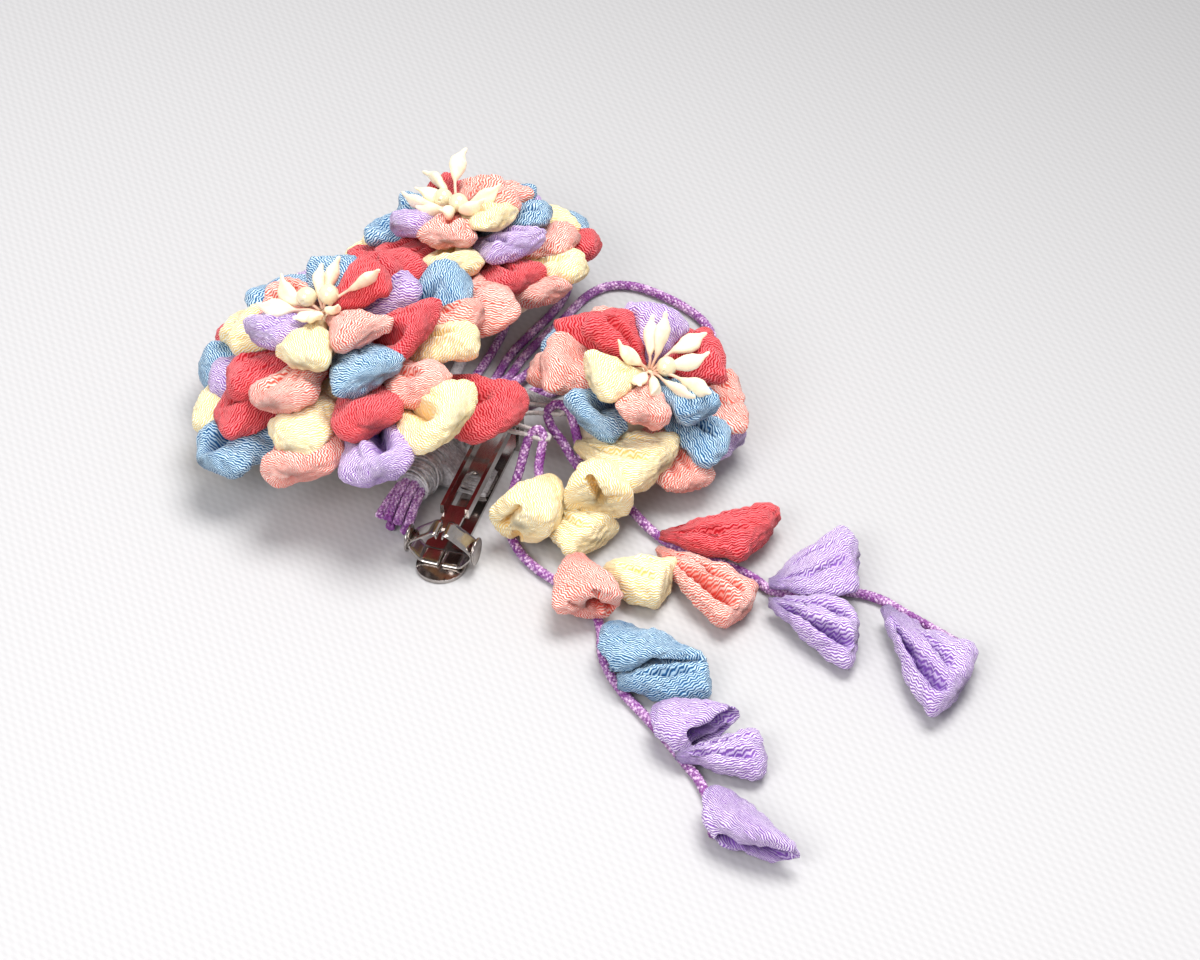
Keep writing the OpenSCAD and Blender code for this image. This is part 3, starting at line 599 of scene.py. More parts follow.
def makeWindingTree():  # thread wound in layers round a core that follows a path
    tree, given = openTree("threadWinding", "GeometryNodeTree", [
        ("Geometry", "Geometry", None), ("Core Radius", "Float", 0.004), ("Thread Radius", "Float", 0.00025),
        ("Turn Pitch", "Float", 0.0005), ("Layers", "Int", 2), ("Loose", "Float", 0.0002),
        ("Points Per Turn", "Float", 20.0), ("Near Share", "Float", 1.0), ("Taper Length", "Float", 0.006),
        ("Seed", "Float", 1.0), ("Material", "Material", None)], [("Geometry", "Geometry", None)])
    plus, minus, times, over = sums(tree, "ADD", "SUBTRACT", "MULTIPLY", "DIVIDE")
    habit = windingHabit
    coreRadius, threadRadius = given["Core Radius"], given["Thread Radius"]
    route = put(tree, "GeometryNodeMeshToCurve", {"Mesh": given["Geometry"]}).outputs[0]
    fine = evenCurve(tree, route, over(given["Turn Pitch"], given["Points Per Turn"]))
    parameter = put(tree, "GeometryNodeSplineParameter").outputs
    length, factor = parameter["Length"], parameter["Factor"]
    swelling = mapped(tree, length, 0.0, given["Taper Length"], given["Near Share"], 1.0, "SMOOTHSTEP")
    core = tubeAlong(tree, route, coreRadius, 24, swelling)
    copies, index, way = copiesOf(tree, fine, given["Layers"])
    slower = plus(1.0, times(index, habit["slowerLayers"]))
    turns = over(length, times(given["Turn Pitch"], slower))
    wanderAt = plus(times(turns, habit["wanderPerTurn"]), times(index, habit["layerShift"]))
    wander = noise(tree, {"W": plus(given["Seed"], wanderAt), "Scale": 1.0, "Detail": 2.0},
                   noise_dimensions="1D")
    wander = times(minus(wander, 0.5), given["Loose"])
    angle = times(times(turns, way), fullTurn)
    layerLift = plus(habit["sink"], times(index, habit["layerRise"]))
    reach = plus(times(coreRadius, swelling), times(threadRadius, layerLift))
    inside = times(wander, times(4.0, times(factor, minus(1.0, factor))))  # no wandering at the two ends
    forward = scaled(tree, put(tree, "GeometryNodeInputTangent").outputs[0], inside)
    offset = vectorNode(tree, "ADD", roundAbout(tree, angle, reach), forward)
    laid = put(tree, "GeometryNodeSetPosition", {"Geometry": copies, "Offset": offset}).outputs[0]
    return closeTree(tree, [core, tubeAlong(tree, laid, threadRadius, 5)], given["Material"])


def guideMesh(name, routes):  # edges along the routes, for a tree to grow on
    points, edges = [], []
    for route in routes:
        edges += [(len(points) + i, len(points) + i + 1) for i in range(len(route) - 1)]
        points += [tuple(p) for p in (np.asarray(route) - middle) * mm]
    mesh = bpy.data.meshes.new(name)
    mesh.from_pydata(points, edges, [])
    return mesh


def grown(name, routes, tree, look, finish):  # a plain mesh of what the tree grows along the routes
    values = {**look, "Material": finishes[finish]}
    guide = newObject(name + "Guide", guideMesh(name + "Guide", routes))
    modifier = guide.modifiers.new("grow", "NODES")
    modifier.node_group = tree
    for item in tree.interface.items_tree:
        if item.in_out == "INPUT" and item.name in values:
            modifier[item.identifier] = values[item.name]
    solved = guide.evaluated_get(bpy.context.evaluated_depsgraph_get())
    mesh = bpy.data.meshes.new_from_object(solved)
    guide.modifiers.remove(modifier)
    bpy.data.objects.remove(guide)
    mesh.name = name
    return newObject(name, mesh)


cordTree = makeCordTree()
windingTree = makeWindingTree()

# Braided cords, cut tails, thread wrap, wires and stems
guideStep = 0.5
cordLook = {"Cord Radius": 0.97 * mm, "Strand Radius": 0.27 * mm, "Wave": 0.10 * mm, "Strands": 12,
            "Twist Pitch": 5.4 * mm, "Step": 0.34 * mm}
cordRoutes = {  # nearly the same points as in the part's source, in mm
    "string_1_cord": [(-7.6, -12.4, 7.2), (-8.8, -9.4, 8.4), (-9.2, -6.8, 10), (-9.4, -4.8, 12),
                      (-10.4, -4.2, 13), (-11.7, -5, 12), (-12.3, -6.6, 9.8), (-12.5, -9, 7.2),
                      (-12.9, -12, 4.2), (-12.8, -15.6, 1.8), (-11.4, -19, 1), (-9.4, -22.4, 1),
                      (-6.5, -25.6, 1), (-2.5, -28.4, 1), (2, -30.6, 1), (6.5, -33, 1), (10.2, -36.2, 1),
                      (12.6, -40.6, 1), (14.2, -45.4, 1), (17, -50, 1), (21, -54.4, 1), (26, -58.6, 1),
                      (30.8, -62.8, 1), (35.2, -67, 1), (39.4, -71.2, 1), (42.6, -76.2, 1),
                      (44.8, -82.4, 1)],
    "string_2_cord": [(-2.4, -2.8, 6.8), (-4, -0.5, 8.4), (-5.6, 2, 10.2), (-7.2, 4, 11.8), (-9.4, 4, 12.8),
                      (-10.8, 2.4, 12), (-9.6, 0.6, 10.2), (-7, -0.8, 8.2), (-4.2, -2.8, 6),
                      (-0.6, -5.2, 4.4), (3.8, -6.8, 3.4), (8.4, -8.8, 2.4), (12.4, -11.4, 1.4),
                      (16.4, -13.8, 1), (21, -15.6, 1), (25.6, -16.6, 1), (30.2, -17.4, 1), (34.6, -19, 1),
                      (38.6, -21.2, 1), (43.2, -20.6, 1), (48, -18.4, 1), (53, -17.4, 1), (58, -18, 1),
                      (62.8, -20.2, 1), (69, -23, 1), (75.4, -26, 1)],
    "cord_loop_1": [(-30.2, 1, 6.9), (-28.6, 8, 5.4), (-26.6, 15, 3.2), (-24.9, 22, 1.6), (-24.4, 29, 1),
                    (-22.8, 35.6, 1), (-20.8, 41.6, 1), (-19.6, 47, 1), (-18, 52, 1), (-15.2, 55.6, 1),
                    (-10.8, 57, 1), (-5.2, 56, 1), (0.6, 53.6, 1), (5.6, 50.2, 1), (8.8, 45.4, 1),
                    (8.4, 39.8, 1), (4.6, 35.8, 1), (-1, 33, 1), (-6.6, 29.6, 1), (-12, 25, 1),
                    (-16.4, 19.8, 1.2), (-20, 14.6, 2), (-23.4, 9.8, 3.4), (-25.6, 5, 4.4), (-26.6, 1, 4.8)],
    "cord_loop_2": [(-30.2, 1, 2.7), (-29, 8, 1.8), (-28, 15, 1.1), (-27.4, 22, 1), (-27, 29, 1),
                    (-25.4, 36, 1), (-23.6, 42.6, 1), (-22.6, 49, 1), (-23.4, 55, 1), (-27.2, 58.4, 1),
                    (-31.4, 56.6, 1), (-33, 51.4, 1), (-32.2, 45, 1), (-30.8, 38, 1), (-30.6, 30, 1),
                    (-31.2, 22, 1), (-31.8, 14, 1.6), (-31.8, 7.4, 3), (-31.4, 1, 4.8)],
    "cord_loop_3": [(-27.8, 1, 6.9), (-25.8, 8, 6.2), (-23.8, 15, 4.4), (-22, 22, 2.4), (-20.6, 28, 1.4),
                    (-19.2, 33.4, 1), (-18.4, 38.4, 1), (-16.2, 41.8, 1), (-12.6, 41.4, 1),
                    (-11.4, 37.6, 1), (-13, 32, 1), (-15.8, 26, 1), (-19, 20.4, 1), (-22.6, 14.6, 1),
                    (-25.6, 8, 1.6), (-27.8, 1, 2.7)],
}


def makeCords():
    laid = []
    for node, route in cordRoutes.items():
        path = smoothPath(route, guideStep)
        words = node.split("_")
        name = "stringCord" + words[1] if words[0] == "string" else "cordLoop" + words[2]
        cord = grown(name, [path], cordTree, cordLook, "braidedSilk")
        finishPiece(cord, node)
        length = float(stepLengths(path).sum()) * mm
        laid.append((node, cord, path, length))
        print(f"{name}: {length * 1000:.1f} mm long, {len(cord.data.polygons)} faces")
    return laid


tailLook = {
    "starts": [(-32.6, 4.9), (-31.5, 6.2), (-29.8, 6.2), (-28.7, 4.9), (-29.7, 3.2), (-31.6, 3.2)],
    "ends": [(-34.3, -25, 3.2), (-32.4, -25.8, 3.7), (-30.4, -26.2, 3.6), (-28.4, -25.9, 3.2),
             (-29.3, -25.6, 1.1), (-32.3, -25.2, 1.1)],
    "rootY": -16.6, "bulge": (0.12, 0.048), "radius": 1.0, "step": 0.6,
}


def makeTails():
    routes = []
    for (x, z), end in zip(tailLook["starts"], tailLook["ends"]):
        start = np.array([x, tailLook["rootY"], z])
        end = np.array(end, float)
        sideways, upwards = tailLook["bulge"]
        bulge = (start + end) / 2 + (end - start)[[2, 1, 0]] * [sideways, 0, upwards]
        routes.append(smoothPath([start, bulge, end], tailLook["step"]))
    look = {**cordLook, "Cord Radius": tailLook["radius"] * mm}
    finishPiece(grown("cordTails", routes, cordTree, look, "braidedSilk"), "cord_tails")


laidCords = makeCords()
makeTails()
print("cords and tails are laid")

wrapEnds = [(-30.7, -17.5, 4.8), (-29, 1, 4.8)]
wrapStep = 0.8
wrapLook = {"Core Radius": 3.6 * mm, "Thread Radius": 0.24 * mm, "Turn Pitch": 0.5 * mm, "Layers": 4,
            "Loose": 4.5 * mm, "Near Share": 0.76, "Taper Length": 7.0 * mm, "Points Per Turn": 26.0,
            "Seed": 4.0}
lashLook = {
    "ring": [(-28, 1.6), (-22.9, 0.95), (-20.4, 0.95), (-18.5, 1.0), (-18.3, 1.25), (-20.2, 1.6),
             (-22.7, 1.9), (-24.6, 4.6), (-26.4, 6.4), (-28, 6.2), (-29, 4)],
    "from": -12.0, "to": -4.0, "loops": 24, "thread": 0.2, "seed": 11,
    "inset": 0.4, "slant": 1.4, "stray": 0.15, "rise": 0.12, "edge": 0.2, "coreStep": 0.4,
    "core": [0.8, 0.94] + [0.98] * 10 + [0.94, 0.8],
}


def lashLoops(outline):  # the thread that ties the bundle to the plate
    look = lashLook
    dice = np.random.default_rng(look["seed"])
    share = (outline[:, 0] - outline[:, 0].min()) / np.ptp(outline[:, 0])
    loops = []
    for y in np.linspace(look["from"] + look["inset"], look["to"] - look["inset"], look["loops"]):
        slant = dice.uniform(-look["slant"], look["slant"])
        loop = outline.copy()
        loop[:, 1] = y + slant * (share - 0.5) + dice.uniform(-look["stray"], look["stray"])
        loop[:, 2] += dice.uniform(0, look["rise"])
        loop[:, 1] = np.clip(loop[:, 1], look["from"] + look["edge"], look["to"] - look["edge"])
        loops.append(tubeSkin(closedPath(loop, guideStep), look["thread"], 5))
    return loops


def lashCore(outline):  # what the loops lie on, closed at both ends
    look = lashLook
    inner = closedPath(outline, look["coreStep"])[:-1]
    centre = inner.mean(0)
    rings = []
    for y, size in zip(np.linspace(look["from"], look["to"], len(look["core"])), look["core"]):
        ring = centre + (inner - centre) * size
        ring[:, 1] = y
        rings.append(ring)
    return skin(np.array(rings), np.linspace(0, 8, len(rings)), np.linspace(0, 30, len(inner) + 1))


def makeThreadWrap():  # the wound bundle and its lashing, joined into one piece
    bundle = grown("bundleWinding", [smoothPath(wrapEnds, wrapStep)], windingTree, wrapLook, "greyThread")
    outline = np.array([(x, 0.0, z) for x, z in lashLook["ring"]])
    lash = meshPiece("lashing", lashLoops(outline) + [lashCore(outline)], finishes["greyThread"])
    bundle.select_set(True)
    bpy.context.view_layer.objects.active = bundle
    lash.select_set(True)
    with bpy.context.temp_override(active_object=bundle, selected_editable_objects=[bundle, lash]):
        bpy.ops.object.join()
    bundle.name = bundle.data.name = "threadWrap"
    finishPiece(bundle, "thread_wrap")


wireRoutes = {
    "hanger_wire_1": [(-28, -6, 7.6), (-25.2, -5.7, 10.8), (-22.3, -5.3, 12), (-17.5, -5.3, 12.3),
                      (-11.8, -5.3, 12.1), (-9.6, -5.5, 11.8), (-8.4, -5, 11.7), (-8.4, -4, 11.7),
                      (-9.6, -3.5, 11.8), (-12.6, -3.3, 12), (-15.8, -3, 12.2)],
    "hanger_wire_2": [(-27.8, -3.4, 7.6), (-25, -3, 10.4), (-22, -2.4, 11.5), (-18, -0.8, 11.8),
                      (-13.6, 1.2, 11.9), (-9.6, 2.3, 11.7), (-8.2, 2.9, 11.6), (-8.3, 3.9, 11.6),
                      (-9.6, 4.2, 11.7), (-12.4, 3.9, 11.9), (-15.2, 3.2, 12.1)],
}
stemRoutes = {
    "flower_a_stem": [(-45.3, -2.3, 10), (-41.4, -2.8, 8), (-37, -3, 6.6), (-32.6, -3, 5.8)],
    "flower_b_stem": [(-38.3, 40.6, 6.8), (-36.8, 35, 3), (-35.4, 27, 1.8), (-34.8, 18, 1.8),
                      (-34.6, 10, 2.4), (-34.2, 4, 2.8), (-33.2, 0, 3.2)],
    "flower_c_stem": [(2.1, 11.2, 7.3), (-3, 11.6, 4.8), (-9, 12, 4.6), (-15, 11.4, 6.4), (-20.4, 9.6, 9.2),
                      (-24.6, 6, 9.8), (-27.2, 2.2, 9.4), (-28.6, -1, 8)],
}
windingLooks = {  # what both have, then the hanger wires and the flowers' stems
    "both": {"Layers": 1, "Loose": 0.1 * mm, "Seed": 2.0},
    "hanger": {"Core Radius": 0.40 * mm, "Thread Radius": 0.09 * mm, "Turn Pitch": 0.9 * mm,
               "Points Per Turn": 10.0},
    "flower": {"Core Radius": 0.92 * mm, "Thread Radius": 0.17 * mm, "Turn Pitch": 0.34 * mm,
               "Points Per Turn": 9.0},
}


def makeWires():
    for node, route in {**wireRoutes, **stemRoutes}.items():
        words = node.split("_")
        hanger = words[0] == "hanger"
        name = "hangerWire" + words[2] if hanger else "stem" + words[1].upper()
        slot, finish = ("paper", "paperWire") if hanger else ("thread", "greyThread")
        look = {**windingLooks["both"], **windingLooks[words[0]]}
        finishPiece(grown(name, [smoothPath(route, guideStep)], windingTree, look, finish), node)


makeThreadWrap()
makeWires()
print("thread wrap, wires and stems are wound")

# Petals: the flowers are laid out by the same tables as the part's source
petalLook = {  # lengths in mm, angles in degrees
    "gap": 0.07, "spread": 1.12, "swell": 1.10, "widestHalf": 30.0, "longer": (0.97, 1.05),
    "step": 0.44, "stringStep": 0.36, "floorGap": 0.05,
    "shear": 0.42, "fullness": (1.8, 2.4), "tilt": 0.2, "grain": (25, 65), "mapShift": 40,
    "foldDepth": (0.85, 1.15), "foldPlace": 0.09, "foldBow": 0.14, "foldSlope": 0.25,
    "foldNarrows": 0.14, "foldPulls": 0.35,
    "lump": 0.34, "lumpWave": 6.0, "pucker": 0.13, "puckerWave": 1.7,
    "crease": 0.18, "creaseWave": 11.0, "creaseWidth": 0.22, "sink": 0.05,
    # painted shade: how much deeper colour folds, holes, creases, roots and undersides take, where shade
    # falls
    "foldShade": 0.7, "holeShade": 0.68, "holeDepth": 3.2, "rootShade": 0.32, "underShade": 0.28,
    "creaseShade": 0.10, "deepestShade": 0.82,
    "turnJitter": 6.0, "pitchJitter": 3.5, "rollJitter": 10.0,
    "crownInset": 1.6, "crownLift": 1.7, "crownDrop": 6.8, "rimLift": 7.0, "placeSeed": 50000,
    "fanShear": -0.6, "stringGrain": (52, 59, 66, 73), "stringSeed": 9000,
}
postRadius = 2.6
pearlRadius = 1.9
flowerPlaces = {  # centre, lean in degrees, the way it leans, felt radius and post height
    "a": ((-47.1, -2.8, 15.9), 16.9, 197, 16.5, 15.5),
    "b": ((-39.2, 41.3, 10.8), 14, 152, 15, 12),
    "c": ((4, 10.6, 12.4), 20, 343, 12, 7.8),
}
tiers = {  # root radius, root height, pitch, length, thickness, angles, cloths
    "a": [(3.4, 13.2, 13, 10.8, 5, [48, 103, 156, 214, 276, 333], "cbslys"),
          (4, 8.4, 9, 17, 5.6, [42, 5, 309, 261, 219, 182, 141, 84], "lcbscybc"),
          (5, 3.4, 7, 21.8, 6, [46, 25, 4, 339, 305, 266, 234, 200, 162, 124, 84], "bsyscyclysc"),
          (6.5, -1.6, 2, 26, 6.4, [0, 330, 303, 273, 243, 213, 183, 153, 126, 30], "cylsbybcls")],
    "b": [(3.4, 10.2, 10, 9.4, 4.6, [276, 335, 30, 78, 126, 170, 218], "sysscbl"),
          (4, 6.3, 8, 14, 4.8, [288, 336, 24, 72, 120, 177, 232], "ylbscbc"),
          (4.8, 2.2, 6, 17.8, 5, [327, 4, 42, 82, 122, 162, 202, 246, 288], "csyblycbs"),
          (6, -1.6, 1, 20.5, 5.2, [325, 353, 21, 51, 81, 111, 141, 171, 201, 231], "sycblcsycs")],
    "c": [(3.2, 5.8, 17, 11, 4.8, [228, 285, 333, 42, 92, 148], "ysbclc"),
          (4, 1.6, 9, 15.5, 4.8, [240, 336, 15, 56, 100, 140, 194], "bbsclcs"),
          (5, -2.8, 2, 16.5, 4.8, [320, 357, 37, 78, 118, 157, 186], "slscsbs")],
}
clothLetters = {"c": "coral", "s": "salmon", "y": "cream", "l": "lavender", "b": "blue"}
petalForms = {  # rows of place, width and height, how the far end closes, fullness of the cross-section
    "flower": ([(0, 0.16, 0.3), (0.22, 0.46, 0.62), (0.5, 0.78, 0.92), (0.76, 1, 1)], (2.6, 2.3), None),
    "tongue": ([(0, 0.12, 0.3), (0.25, 0.44, 0.6), (0.54, 0.8, 0.92), (0.82, 1, 1)], (3.7, 2.44), 2.2),
    "mouth": ([(0, 0.28, 0.4), (0.25, 0.62, 0.74), (0.54, 0.88, 0.95), (0.84, 1, 1)], (6.5, 3.6), 2.1),
    "fan": ([(0, 0.12, 0.3), (0.3, 0.42, 0.62), (0.6, 0.8, 0.92), (0.84, 1, 1)], (3.0, 2.6), 2.2),
}
foldStyles = {  # depth, half width, from and to along the petal, sideways place, lift of the overlapping side
    "plain": [],
    "blade": [(1.2, 0.09, 0.12, 0.97, -0.5, 0.14), (0.8, 0.08, 0.34, 0.9, 0.1, 0.14)],
    "soft": [(0.45, 0.07, 0.1, 0.9, -0.3, 0.12), (0.25, 0.05, 0.2, 0.8, 0.35, 0.06)],
    "slit": [(1.1, 0.12, 0.25, 1.0, -0.1, 0.2)],
    "plump": [(0.30, 0.10, 0.1, 0.62, 0.1, 0.10)],
    "crease": [(0.75, 0.09, 0.0, 0.86, 0.05, 0.22)],
    "pocket": [(1.30, 0.20, 0.0, 0.80, 0.0, 0.16)],
    "pocketLeft": [(1.2, 0.16, 0.05, 0.88, -0.38, 0.2), (0.3, 0.06, 0.2, 0.9, 0.3, 0.05)],
    "pocketRight": [(1.25, 0.17, 0.1, 0.9, 0.4, 0.2), (0.3, 0.06, 0.2, 0.9, -0.35, 0.05)],
    "notch": [(1.0, 0.13, 0.0, 0.66, 0.0, 0.12), (0.35, 0.08, 0.3, 0.95, 0.5, 0.1)],
    "twin": [(0.65, 0.08, 0.05, 0.88, -0.36, 0.14), (0.6, 0.08, 0.05, 0.88, 0.34, 0.12)],
    "tongue": [(1.5, 0.12, 0.06, 0.96, -0.42, 0.12), (1.15, 0.09, 0.06, 0.93, 0.36, 0.10)],
}
commonFolds = ["plump", "crease", "plump", "notch", "twin"]
chosenFolds = {  # flower, tier and angle of petals whose fold the photo shows well
    ("a", 3, 273): "notch", ("a", 3, 303): "pocketRight", ("a", 3, 0): "pocket",
    ("a", 3, 330): "pocketLeft", ("a", 3, 243): "slit", ("a", 2, 339): "crease", ("a", 2, 46): "pocket",
    ("a", 2, 305): "plump", ("a", 2, 266): "plump", ("a", 1, 309): "plump", ("a", 1, 261): "soft",
    ("a", 1, 5): "pocketLeft", ("a", 1, 219): "soft", ("a", 0, 333): "plump", ("c", 0, 148): "crease",
    ("c", 1, 240): "pocket", ("c", 0, 228): "plump", ("c", 1, 336): "crease", ("c", 0, 333): "plump",
    ("b", 1, 288): "pocket", ("b", 1, 336): "twin", ("b", 2, 327): "crease", ("b", 2, 288): "pocket",
    ("b", 3, 353): "crease",
}


def petalOutline(length, width, thick, rows, closing, step):  # from root to far end in even steps
    x = np.linspace(0, 1, 600)
    rows = np.array(rows)
    fullAt = rows[-1, 0]
    beyond = np.clip((x - fullAt) / (1 - fullAt), 0, 1)
    wide, high = (np.where(x < fullAt, easyCurve(rows[:, 0], rows[:, k], np.minimum(x, fullAt)),
                           np.sqrt(np.clip(1 - beyond ** closing[k - 1], 0, 1))) for k in (1, 2))
    outline = np.column_stack([x * length, wide * width / 2])
    count = int(stepLengths(outline).sum() / step)
    along, line = evenSteps(np.column_stack([outline, x, high]), count + 1)
    columns = ((line[:-1, 2], 1), (along[:-1], 1), (line[:-1, 1], 0.5), (line[:-1, 3] * thick / 2, 0.5))
    return [np.concatenate([[values[0] * part], values]) for values, part in columns]


def petalLoop(width, thick, fullness, step):  # round the cross-section in even steps
    angle = np.linspace(-math.pi / 2, 1.5 * math.pi, 721)
    y, z = (np.sign(way(angle)) * np.abs(way(angle)) ** (2 / fullness) for way in (np.cos, np.sin))
    loop = np.column_stack([y * width / 2, z * thick / 2, y, z])
    sides = int(stepLengths(loop[:, :2]).sum() / step)
    around, ring = evenSteps(loop, sides + 1)
    return around, ring[:-1, 2], ring[:-1, 3]


def foldFields(dice, folds, share, y, z):  # how deep the folds lie, and how far their edges rise
    look = petalLook
    depth, lift = np.zeros((2, len(share), len(y)))
    top = smoothStep(-0.05, 0.35, z)[None, :]
    for deep, half, start, end, place, raised in folds:
        deep = deep * dice.uniform(*look["foldDepth"])
        place = place + dice.uniform(-look["foldPlace"], look["foldPlace"])
        bow = dice.uniform(-look["foldBow"], look["foldBow"])
        slope = dice.uniform(-look["foldSlope"], look["foldSlope"])
        runs = smoothStep(start - 0.05, start + 0.3, share) * (1 - smoothStep(end - 0.16, end + 0.05, share))
        centre = place + bow * np.sin(share * math.pi) + slope * (share - 0.5)
        across = (y[None, :] - centre[:, None]) * dice.choice([-1, 1])
        reach = half * (0.8 + 0.5 * share[:, None])  # wider towards the far end
        depth += (deep * runs)[:, None] * np.exp(-(np.abs(across) / reach) ** 1.5) * top
        lift += (raised * runs)[:, None] * np.exp(-((across - 1.9 * reach) / (1.5 * reach)) ** 2) * top
    return depth, lift


def carvedDepth(py, pz, width, thick, share, strokes):  # the holes that folding leaves in the far end
    carved = np.zeros_like(py)
    for y0, z0, y1, z1, radius, deep in strokes:
        a = np.array([y0 * width / 2, z0 * thick / 2])
        run = np.array([y1 * width / 2, z1 * thick / 2]) - a
        t = ((py - a[0]) * run[0] + (pz - a[1]) * run[1]) / max((run ** 2).sum(), 1e-9)
        t = np.clip(t, 0, 1)
        gap = np.hypot(py - a[0] - t * run[0], pz - a[1] - t * run[1])
        carved += deep * np.exp(-(gap / radius) ** 2.4) * smoothStep(0.72, 0.86, share)[:, None]
    return carved


def ringNormals(rings):
    across = np.roll(rings, -1, 1) - np.roll(rings, 1, 1)
    along = np.gradient(rings, axis=0)
    normal = np.cross(across, along)
    normal /= np.maximum(np.linalg.norm(normal, axis=2), 1e-9)[..., None]
    outward = rings - rings.mean(axis=1, keepdims=True)
    if (normal * outward).sum() < 0:
        normal = -normal
    return normal


def clothed(rings, share, seed):  # rings with the cloth's lumps and pucker, and where its soft creases are
    look = petalLook
    flat = rings.reshape(-1, 3)
    lumps, pucker, crease = (
        ripple(flat * ratio, seed + n, look[wave], count).reshape(rings.shape[:2])
        for n, ratio, wave, count in ((1, [1, 1, 1], "lumpWave", 7), (2, [1, 1, 1.3], "puckerWave", 14),
                                      (3, [0.7, 1.2, 1], "creaseWave", 5)))
    crease = np.exp(-(crease / look["creaseWidth"]) ** 2)
    grip = smoothStep(0.0, 0.2, share)[:, None]
    soft = (look["lump"] * lumps - look["sink"] - look["crease"] * crease) * grip + look["pucker"] * pucker
    return rings + ringNormals(rings) * soft[..., None], crease


def turnMap(shell, turn, shift):  # lays the crepe's ridges another way over the cloth
    for key in ("quadMap", "triMap"):
        u, v = shell[key][..., 0], shell[key][..., 1]
        shell[key] = np.stack([u * math.cos(turn) - v * math.sin(turn) + shift[0],
                               u * math.sin(turn) + v * math.cos(turn) + shift[1]], -1)
    return shell


# A folded petal. The shear, fullness and grain that a petal isn't given are drawn by its seed
def petalSkin(size, form, fold, step, seed, shear=None, slant=0.0, grain=None, strokes=()):
    look = petalLook
    dice = np.random.default_rng(seed)
    length, width, thick = size
    rows, closing, fullness = petalForms[form]
    shear = dice.uniform(-look["shear"], look["shear"]) if shear is None else shear
    fullness = dice.uniform(*look["fullness"]) if fullness is None else fullness
    share, along, wideAt, highAt = petalOutline(length, width, thick, rows, closing, step)
    around, y, z = petalLoop(width, thick, fullness, step)
    depth, lift = foldFields(dice, foldStyles[fold], share, y, z)
    tilt = dice.uniform(-look["tilt"], look["tilt"])
    px = np.repeat((share * length)[:, None], len(y), 1)
    py = wideAt[:, None] * y[None, :] * (1 - look["foldNarrows"] * np.clip(depth, 0, 1))
    pz = highAt[:, None] * (z[None, :] * (1 + tilt * y[None, :]) - np.clip(depth, 0, 1.5) + lift)
    px = px - look["foldPulls"] * highAt[:, None] * np.clip(depth - 0.4, 0, 1)
    farHalf = smoothStep(0.35, 1.0, share)[:, None]
    px = px + shear * py * farHalf * smoothStep(0, 0.25, 1.0001 - px / length / 1.2)
    carved = carvedDepth(py, pz, width, thick, share, strokes)
    px = px - carved
    rings, crease = clothed(np.stack([px, py + slant * px, pz], -1), share, seed)
    turn = math.radians(dice.choice([-1, 1]) * dice.uniform(*look["grain"]) if grain is None else grain)
    # painted shade: deeper colour in the folds, the holes of the far end, the soft creases, at the root under
    # the overlapping petals and on the underside
    tint = look["foldShade"] * np.clip(depth, 0, 1) + np.clip(carved / look["holeDepth"], 0, look["holeShade"])
    tint = tint + look["creaseShade"] * crease
    tint = tint + look["rootShade"] * (1 - smoothStep(0.0, 0.42, share))[:, None]
    tint = tint + look["underShade"] * smoothStep(0.1, 0.85, -z)[None, :]
    shell = skin(rings, along, around, np.clip(tint, 0, look["deepestShade"]))
    return turnMap(shell, turn, dice.uniform(0, look["mapShift"], 2))


petalTweaks = {  # petals that the photo shows otherwise: length, width, lift in degrees, turn in degrees
    ("a", 3, 330): (1.17, 1.35, 2, -8), ("a", 3, 303): (1.10, 1.12, 1, 1),
    ("a", 3, 273): (0.96, 1.14, 5, -4), ("a", 3, 243): (1.04, 1.05, 3, -15),
    ("a", 3, 213): (0.92, 0.9, 5, -11), ("a", 3, 0): (1.05, 1.25, -18, -14),
    ("a", 1, 42): (0.85, 0.72, 0, 7), ("a", 2, 46): (1.06, 1.3, 2, -3), ("c", 1, 240): (0.84, 1.0, 3, 0),
}


def nextGap(angles, i, way):  # to the next petal of the tier, in degrees
    return min(((a - angles[i]) * way) % 360 for j, a in enumerate(angles) if j != i)


def sideRoom(angles, i, way):  # how far a petal may reach to one side, in degrees
    widest = petalLook["widestHalf"]
    own = nextGap(angles, i, way) / 2
    return own if own <= widest else min(widest, nextGap(angles, i, -way) / 2)


def placeWidth(tier, half):  # the widest petal that has room between its neighbours
    rootRadius, _, pitch, length, thick = tier[:5]
    lean = math.radians(pitch)
    rows = petalForms["flower"][0][1:] + [(0.93, 0.8, 0.74)]
    return min(2 * (rootRadius + x * length * math.cos(lean) - 0.25 * thick * math.sin(lean))
               * math.tan(math.radians(half)) * (1 - petalLook["gap"]) / w for x, w, _ in rows)


def atFlower(key, points):  # from a flower's own frame to its place
    centre, lean, towards = flowerPlaces[key][:3]
    way = math.radians(towards)
    return points @ turnAbout((-math.sin(way), math.cos(way), 0), lean).T + np.array(centre)


